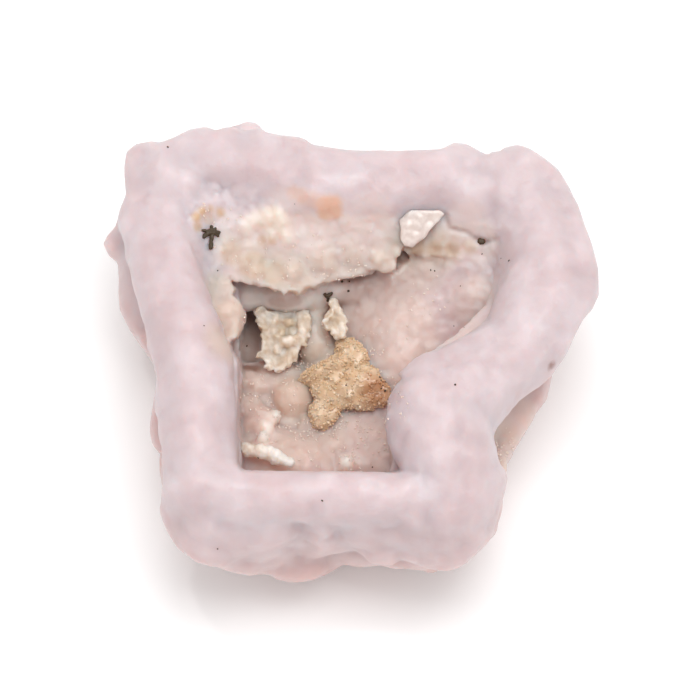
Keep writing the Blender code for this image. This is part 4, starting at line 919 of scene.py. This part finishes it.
# Tan quartz druse: glossy small faces in warm tan and cream, with an orange-brown stain where iron seeped in.
tan_druse, shade, surface, place = new_finish("tan_quartz_druse_crystals", 0.22, 0.15, (1.0, 0.8, 0.6))
PATCH = 1.8
colour = clouded(shade, place, PATCH, 3.0, ("#d2b391", "#e0c7ab"), 0.38, 0.62)
STAIN = spot(3.4, -5.0, 14.0) * MM
stained = add_node(shade, "ShaderNodeVectorMath", (place, STAIN), out="Value", operation="DISTANCE")
stained = {"Value": stained, "From Min": 1.0 * MM, "From Max": 2.8 * MM, "To Min": 0.75, "To Max": 0.0}
stained = add_node(shade, "ShaderNodeMapRange", stained)
colour = {0: stained, 6: colour, 7: linear("#b27a50")}
colour = add_node(shade, "ShaderNodeMix", colour, out=2, data_type="RGBA")
shade.links.new(colour, surface.inputs["Base Color"])

# One six-sided crystal, one wide and one long, with a point half as high.
crystal_mesh = bpy.data.meshes.new("crystal_point")
crystal = bmesh.new()
bmesh.ops.create_cone(crystal, cap_ends=True, segments=POINT_SIDES, radius1=0.5, radius2=0.5, depth=1.0)
top = max(crystal.faces, key=lambda face: face.calc_center_median().z)
bmesh.ops.poke(crystal, faces=[top], offset=0.5)
crystal.to_mesh(crystal_mesh)
crystal.free()
crystal_guide = bpy.data.objects.new("crystal_point", crystal_mesh)


def studded(tree, surface, thickly, width, seed, lean):
    """Crystal points of about the width stand on a surface, so many a square metre, leaning a little."""
    spread = {"Mesh": surface, "Density": thickly, "Seed": seed}
    points = add_node(tree, "GeometryNodeDistributePointsOnFaces", spread).node.outputs
    tilt = {0: (-lean, -lean, -3.1), 1: (lean, lean, 3.1), "Seed": seed + 1}
    tilt = add_node(tree, "FunctionNodeRandomValue", tilt, data_type="FLOAT_VECTOR")
    tilt = {"Rotation": points["Rotation"], "Rotate By": tilt}
    turned = add_node(tree, "FunctionNodeRotateRotation", tilt, rotation_space="LOCAL")
    chance = {2: 0.45, 3: 1.5, "Seed": seed + 2}
    chance = add_node(tree, "FunctionNodeRandomValue", chance, out=1, data_type="FLOAT")
    wide = add_node(tree, "ShaderNodeMath", (chance, width), operation="MULTIPLY")
    crystal = add_node(tree, "GeometryNodeObjectInfo", {"Object": crystal_guide}, out="Geometry")
    standing = {"Points": points["Points"], "Instance": crystal, "Rotation": turned, "Scale": wide}
    placed = add_node(tree, "GeometryNodeInstanceOnPoints", standing)
    return add_node(tree, "GeometryNodeRealizeInstances", (placed,))


DRUSE_SLACK = 0.2
DRUSE_SEED = 3
DRUSE_LEAN = 0.9
tree, size, place = new_form("Druse", DRUSE_SIZES)
bed = lumps(tree, place, spots(DRUSE_LUMPS), SOFT["druse"])
bed = knobbly(tree, place, bed, size, "Knob")
edge = seen_edge(tree, place, "druse_outline", DRUSE_OUTLINE)
edge = add_node(tree, "ShaderNodeMath", (edge, DRUSE_SLACK), operation="SUBTRACT")
bed = add_node(tree, "ShaderNodeMath", (bed, edge, SOFT["druse edge"]), operation="SMOOTH_MAX")
bed = skin(tree, bed, DRUSE_ROOM, size["Cell"])
thickly = add_node(tree, "ShaderNodeMath", (size["Points per mm2"], MM * MM), operation="DIVIDE")
width = add_node(tree, "ShaderNodeMath", (size["Point"], MM), operation="MULTIPLY")
points = studded(tree, bed, thickly, width, DRUSE_SEED, DRUSE_LEAN)
whole = tree.nodes.new("GeometryNodeJoinGeometry")
tree.links.new(bed, whole.inputs[0])
tree.links.new(points, whole.inputs[0])
ended(tree, whole.outputs[0], tan_druse)
druse = grown("druse_crystals", tree, DRUSE_SIZES)
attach(druse, "root")
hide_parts("druse_crust")

# The sugar. Clear quartz crystals, a few tenths of a millimetre wide, sparkle on the ledges and on the lining
# of the hollow, thickly in some places and hardly at all in others.
SUGAR_SIZES = {"Points per mm2": 9.0, "Point": 0.17, "Patch": 2.5}
SUGAR_SEED = 11
SUGAR_LEAN = 1.2
# Clear quartz sugar: bright, glossy points that catch the light one by one.
clear_sugar, shade, surface, place = new_finish("clear_quartz_sugar", 0.12, 0.1, (1.0, 0.85, 0.75))
colour = clouded(shade, place, CLOUD, 2.0, ("#dac8bd", "#eadcd3"))
shade.links.new(colour, surface.inputs["Base Color"])
tree, size, place = new_form("Sugar", SUGAR_SIZES)
seen = add_node(tree, "GeometryNodeObjectInfo", {"Object": body}, out="Geometry")
sugary = add_node(tree, "GeometryNodeInputNamedAttribute", {"Name": "sugary"}, data_type="FLOAT")
fineness = add_node(tree, "ShaderNodeMath", (1 / MM, size["Patch"]), operation="DIVIDE")
patch = add_node(tree, "ShaderNodeTexNoise", {"Vector": place, "Scale": fineness, "Detail": 2.0})
patch = add_node(tree, "ShaderNodeMapRange", {"Value": patch, "From Min": 0.4, "From Max": 0.65})
thickly = add_node(tree, "ShaderNodeMath", (size["Points per mm2"], MM * MM), operation="DIVIDE")
thickly = add_node(tree, "ShaderNodeMath", (thickly, sugary), operation="MULTIPLY")
thickly = add_node(tree, "ShaderNodeMath", (thickly, patch), operation="MULTIPLY")
width = add_node(tree, "ShaderNodeMath", (size["Point"], MM), operation="MULTIPLY")
ended(tree, studded(tree, seen, thickly, width, SUGAR_SEED, SUGAR_LEAN), clear_sugar)
sugar = grown("quartz_sugar", tree, SUGAR_SIZES)
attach(sugar, "root")

# The pale crystal. A chip of clear to milky quartz is grown into the shelf under the back roll, with
# broken, nearly flat faces and a rough top.
PALE_CENTRE = (9.0, 15.2, 23.6)
PALE_FACES = (
    ((0.0, -0.6, 1.0), 1.6), ((-0.45, -0.4, 0.9), 2.3), ((0.25, -0.45, 0.9), 2.2), ((0.1, -0.85, 0.6), 2.0),
    ((-0.1, -0.1, 0.95), 2.7), ((-0.7, 0.0, 0.7), 3.6), ((0.0, 0.0, -1.0), 3.4), ((0.0, 1.0, 0.1), 4.5),
    ((0.0, -1.0, -0.2), 3.4), ((1.0, 0.0, 0.0), 3.8), ((-1.0, 0.0, 0.0), 3.8),
)
PALE_OUTLINE = (
    (6.0, 17.4), (7.8, 17.5), (9.4, 17.4), (11.3, 17.4), (11.8, 17.0), (11.0, 16.0), (10.0, 15.0),
    (9.4, 14.0), (8.5, 13.4), (7.8, 12.8), (6.8, 13.0), (6.3, 13.8), (6.3, 15.3), (6.0, 16.5),
)
PALE_ROOM = ((4.0, 6.5, 19.0), (14.5, 18.0, 29.5))
PALE_TRIANGLES = 20000
PALE_SIZES = {"Cell": 0.16, "Knob size": 1.1, "Knob depth": 0.14}
# Milky quartz: glossy and white, with greyer, see-into patches.
pale_crystal, shade, surface, place = new_finish("milky_quartz_chip", 0.22, 1.6, (1.0, 0.95, 0.9))
MILK = 0.6
colour = clouded(shade, place, MILK, 3.0, ("#c9b7af", "#ece2dc"))
shade.links.new(colour, surface.inputs["Base Color"])
tree, size, place = new_form("Pale crystal", PALE_SIZES)
offset = add_node(tree, "ShaderNodeVectorMath", (place, spot(*PALE_CENTRE)), operation="SUBTRACT")
chip = -FAR
for direction, reach in PALE_FACES:
    direction = Vector(direction).normalized()
    face = add_node(tree, "ShaderNodeVectorMath", (offset, direction), out="Value", operation="DOT_PRODUCT")
    face = add_node(tree, "ShaderNodeMath", (face, reach), operation="SUBTRACT")
    chip = add_node(tree, "ShaderNodeMath", (chip, face), operation="MAXIMUM")
chip = knobbly(tree, place, chip, size, "Knob")
edge = seen_edge(tree, place, "pale_outline", PALE_OUTLINE)
chip = add_node(tree, "ShaderNodeMath", (chip, edge, SOFT["chip"]), operation="SMOOTH_MAX")
ended(tree, skin(tree, chip, PALE_ROOM, size["Cell"]), pale_crystal)
chip = grown("pale_quartz_chip", tree, PALE_SIZES, PALE_TRIANGLES)
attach(chip, "root")
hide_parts("pale_crystal")

# The dark mineral. Brown-black grains lie on the stone where they grew: a cross-shaped twig on the ledge, a
# shard under it, a round bead on the shelf, and a scatter of specks no bigger than dust.
GRAINS = {
    "dark_twig": (
        ((-18.3, 14.1, 0.26), (-17.8, 14.5, 0.32), (-17.1, 14.6, 0.36), (-16.5, 14.6, 0.28)),
        ((-17.3, 15.4, 0.2), (-17.3, 14.5, 0.32), (-17.4, 13.5, 0.24), (-17.4, 12.8, 0.3)),
        ((-18.4, 14.9, 0.16), (-17.6, 14.8, 0.26), (-16.8, 15.1, 0.2)),
        ((-16.5, 14.2, 0.18), (-16.9, 14.6, 0.26)),
    ),
    "dark_shard": (
        ((-3.2, 7.0, 0.2), (-2.8, 6.9, 0.3), (-2.3, 7.2, 0.18)), ((-2.8, 6.9, 0.26), (-2.8, 6.2, 0.14)),
    ),
    "dark_bead": (((16.45, 13.65, 0.4), (16.6, 13.55, 0.38)),),
}
GRAIN_MARGIN = 1.5
GRAIN_RAISE = 0.6
GRAIN_TRIANGLES = 4000
GRAIN_SIZES = {"Cell": 0.08, "Knob size": 0.35, "Knob depth": 0.09}
SPECKS = (
    (-22.8, 25.4, 0.14), (16.5, 12.0, 0.12), (19.75, 11.1, 0.16), (10.1, 10.0, 0.14), (10.6, 9.9, 0.1),
    (-18.0, 3.0, 0.13), (12.9, -4.25, 0.13), (-16.25, -24.4, 0.14), (-3.4, -18.4, 0.14),
    (-11.4, -13.4, 0.12), (-13.0, 0.5, 0.14), (-16.5, 9.9, 0.12), (-0.2, 7.4, 0.16), (-0.1, 8.6, 0.2),
    (-1.0, 8.6, 0.16), (3.7, -3.4, 0.2), (4.4, -4.0, 0.16), (3.9, -4.8, 0.12), (4.4, -5.1, 0.16),
    (4.7, -6.1, 0.12), (3.9, -3.8, 0.12), (4.1, -4.4, 0.14), (-0.5, -4.4, 0.12), (2.8, -14.6, 0.12),
    (18.8, 11.4, 0.1), (13.8, 8.0, 0.08), (13.0, 3.0, 0.08), (14.2, 2.8, 0.08), (-6.9, 18.2, 0.06),
)
# Dark iron mineral: nearly black, dull, with brown fibres.
dark_mineral, shade, surface, place = new_finish("dark_iron_mineral", 0.55, 0.1, (1.0, 0.6, 0.4))
surface.inputs["Subsurface Weight"].default_value = 0.0
FIBRE = 0.2
colour = clouded(shade, place, FIBRE, 3.0, ("#1a130b", "#57442a"))
shade.links.new(colour, surface.inputs["Base Color"])
surfaces = [hit_tree(piece) for piece in (body, lace, worm, druse, chip)]
for name, strokes in GRAINS.items():
    tree, size, place = new_form(name, GRAIN_SIZES)
    grain = FAR
    low, high = Vector((FAR, FAR, FAR)), Vector((-FAR, -FAR, -FAR))
    for stroke in strokes:
        run = []
        for across, up, radius in stroke:
            where, facing = on_skin(surfaces, across, up)
            run.append((where + facing * radius * GRAIN_RAISE, radius))
            for axis in range(3):
                low[axis] = min(low[axis], where[axis] - GRAIN_MARGIN)
                high[axis] = max(high[axis], where[axis] + GRAIN_MARGIN)
        grain = roll(tree, place, run, grain)
    grain = knobbly(tree, place, grain, size, "Knob")
    ended(tree, skin(tree, grain, (low, high), size["Cell"]), dark_mineral)
    grain = grown(name + "_grain", tree, GRAIN_SIZES, GRAIN_TRIANGLES)
    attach(grain, "root")
    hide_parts(name)

# Each speck is a small ball, pressed flat and turned and stretched in its own way.
speck_mesh = bpy.data.meshes.new("dark_specks")
specks = bmesh.new()
for at, (across, up, radius) in enumerate(SPECKS):
    where, facing = on_skin(surfaces, across, up)
    turned = facing.to_track_quat("Z", "Y").to_matrix().to_4x4() @ Matrix.Rotation(at * 1.7, 4, "Z")
    stretched = Matrix.Diagonal((1.0 + 0.3 * math.sin(at * 2.3), 1.0 + 0.3 * math.cos(at * 3.1), 0.7, 1.0))
    bmesh.ops.create_icosphere(
        specks, subdivisions=1, radius=radius * MM, matrix=Matrix.Translation(where * MM) @ turned @ stretched
    )
specks.to_mesh(speck_mesh)
specks.free()
specks = bpy.data.objects.new("dark_specks", speck_mesh)
bpy.context.scene.collection.objects.link(specks)
speck_mesh.materials.append(dark_mineral)
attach(specks, "root")

# The studio: a white table, a large soft light above to the right, a weak one from the left, and white
# surroundings.
floor_mesh = bpy.data.meshes.new("studio_floor")
TABLE_HALF = 1.5
corners = [(x * TABLE_HALF, y * TABLE_HALF, 0) for x, y in ((-1, -1), (1, -1), (1, 1), (-1, 1))]
floor_mesh.from_pydata(corners, [], [(0, 1, 2, 3)])
floor = bpy.data.objects.new("studio_floor", floor_mesh)
bpy.context.scene.collection.objects.link(floor)
white_table = bpy.data.materials.new("white_matt_table")
white_table.use_nodes = True
surface = white_table.node_tree.nodes["Principled BSDF"]
surface.inputs["Emission Color"].default_value = (1.0, 1.0, 1.0, 1.0)
surface.inputs["Emission Strength"].default_value = 0.1
surface.inputs["Base Color"].default_value = (0.93, 0.93, 0.93, 1.0)
surface.inputs["Roughness"].default_value = 0.9
surface.inputs["Specular IOR Level"].default_value = 0.1
floor_mesh.materials.append(white_table)

world = bpy.data.worlds.new("studio")
bpy.context.scene.world = world
world.use_nodes = True
world.node_tree.nodes["Background"].inputs["Color"].default_value = (1.0, 1.0, 1.0, 1.0)
world.node_tree.nodes["Background"].inputs["Strength"].default_value = 0.66


def soft_light(name, place, width, power):
    """A square light panel that faces the stone."""
    lamp = bpy.data.objects.new(name, bpy.data.lights.new(name, "AREA"))
    lamp.data.size = width
    lamp.data.energy = power
    lamp.location = place
    lamp.rotation_euler = (Vector((0, 0, 0.012)) - Vector(place)).to_track_quat("-Z", "Y").to_euler()
    bpy.context.scene.collection.objects.link(lamp)


soft_light("key_panel", (0.06, -0.02, 0.58), 0.36, 2.22)
soft_light("sparkle_lamp", (-0.15, 0.05, 0.60), 0.03, 0.25)

LENS = 400
SENSOR = 36
FRAME_WIDTH = 87.5
camera = bpy.data.objects.new("camera", bpy.data.cameras.new("camera"))
bpy.context.scene.collection.objects.link(camera)
camera.data.lens = LENS
camera.data.sensor_width = SENSOR
back = Vector((0, -math.cos(SIGHT), math.sin(SIGHT)))
camera.location = Vector((0, 0, FACE_HEIGHT)) * MM + back * FRAME_WIDTH * MM * LENS / SENSOR
camera.rotation_euler = back.to_track_quat("Z", "Y").to_euler()
bpy.context.scene.camera = camera
bpy.context.scene.view_settings.view_transform = "Standard"
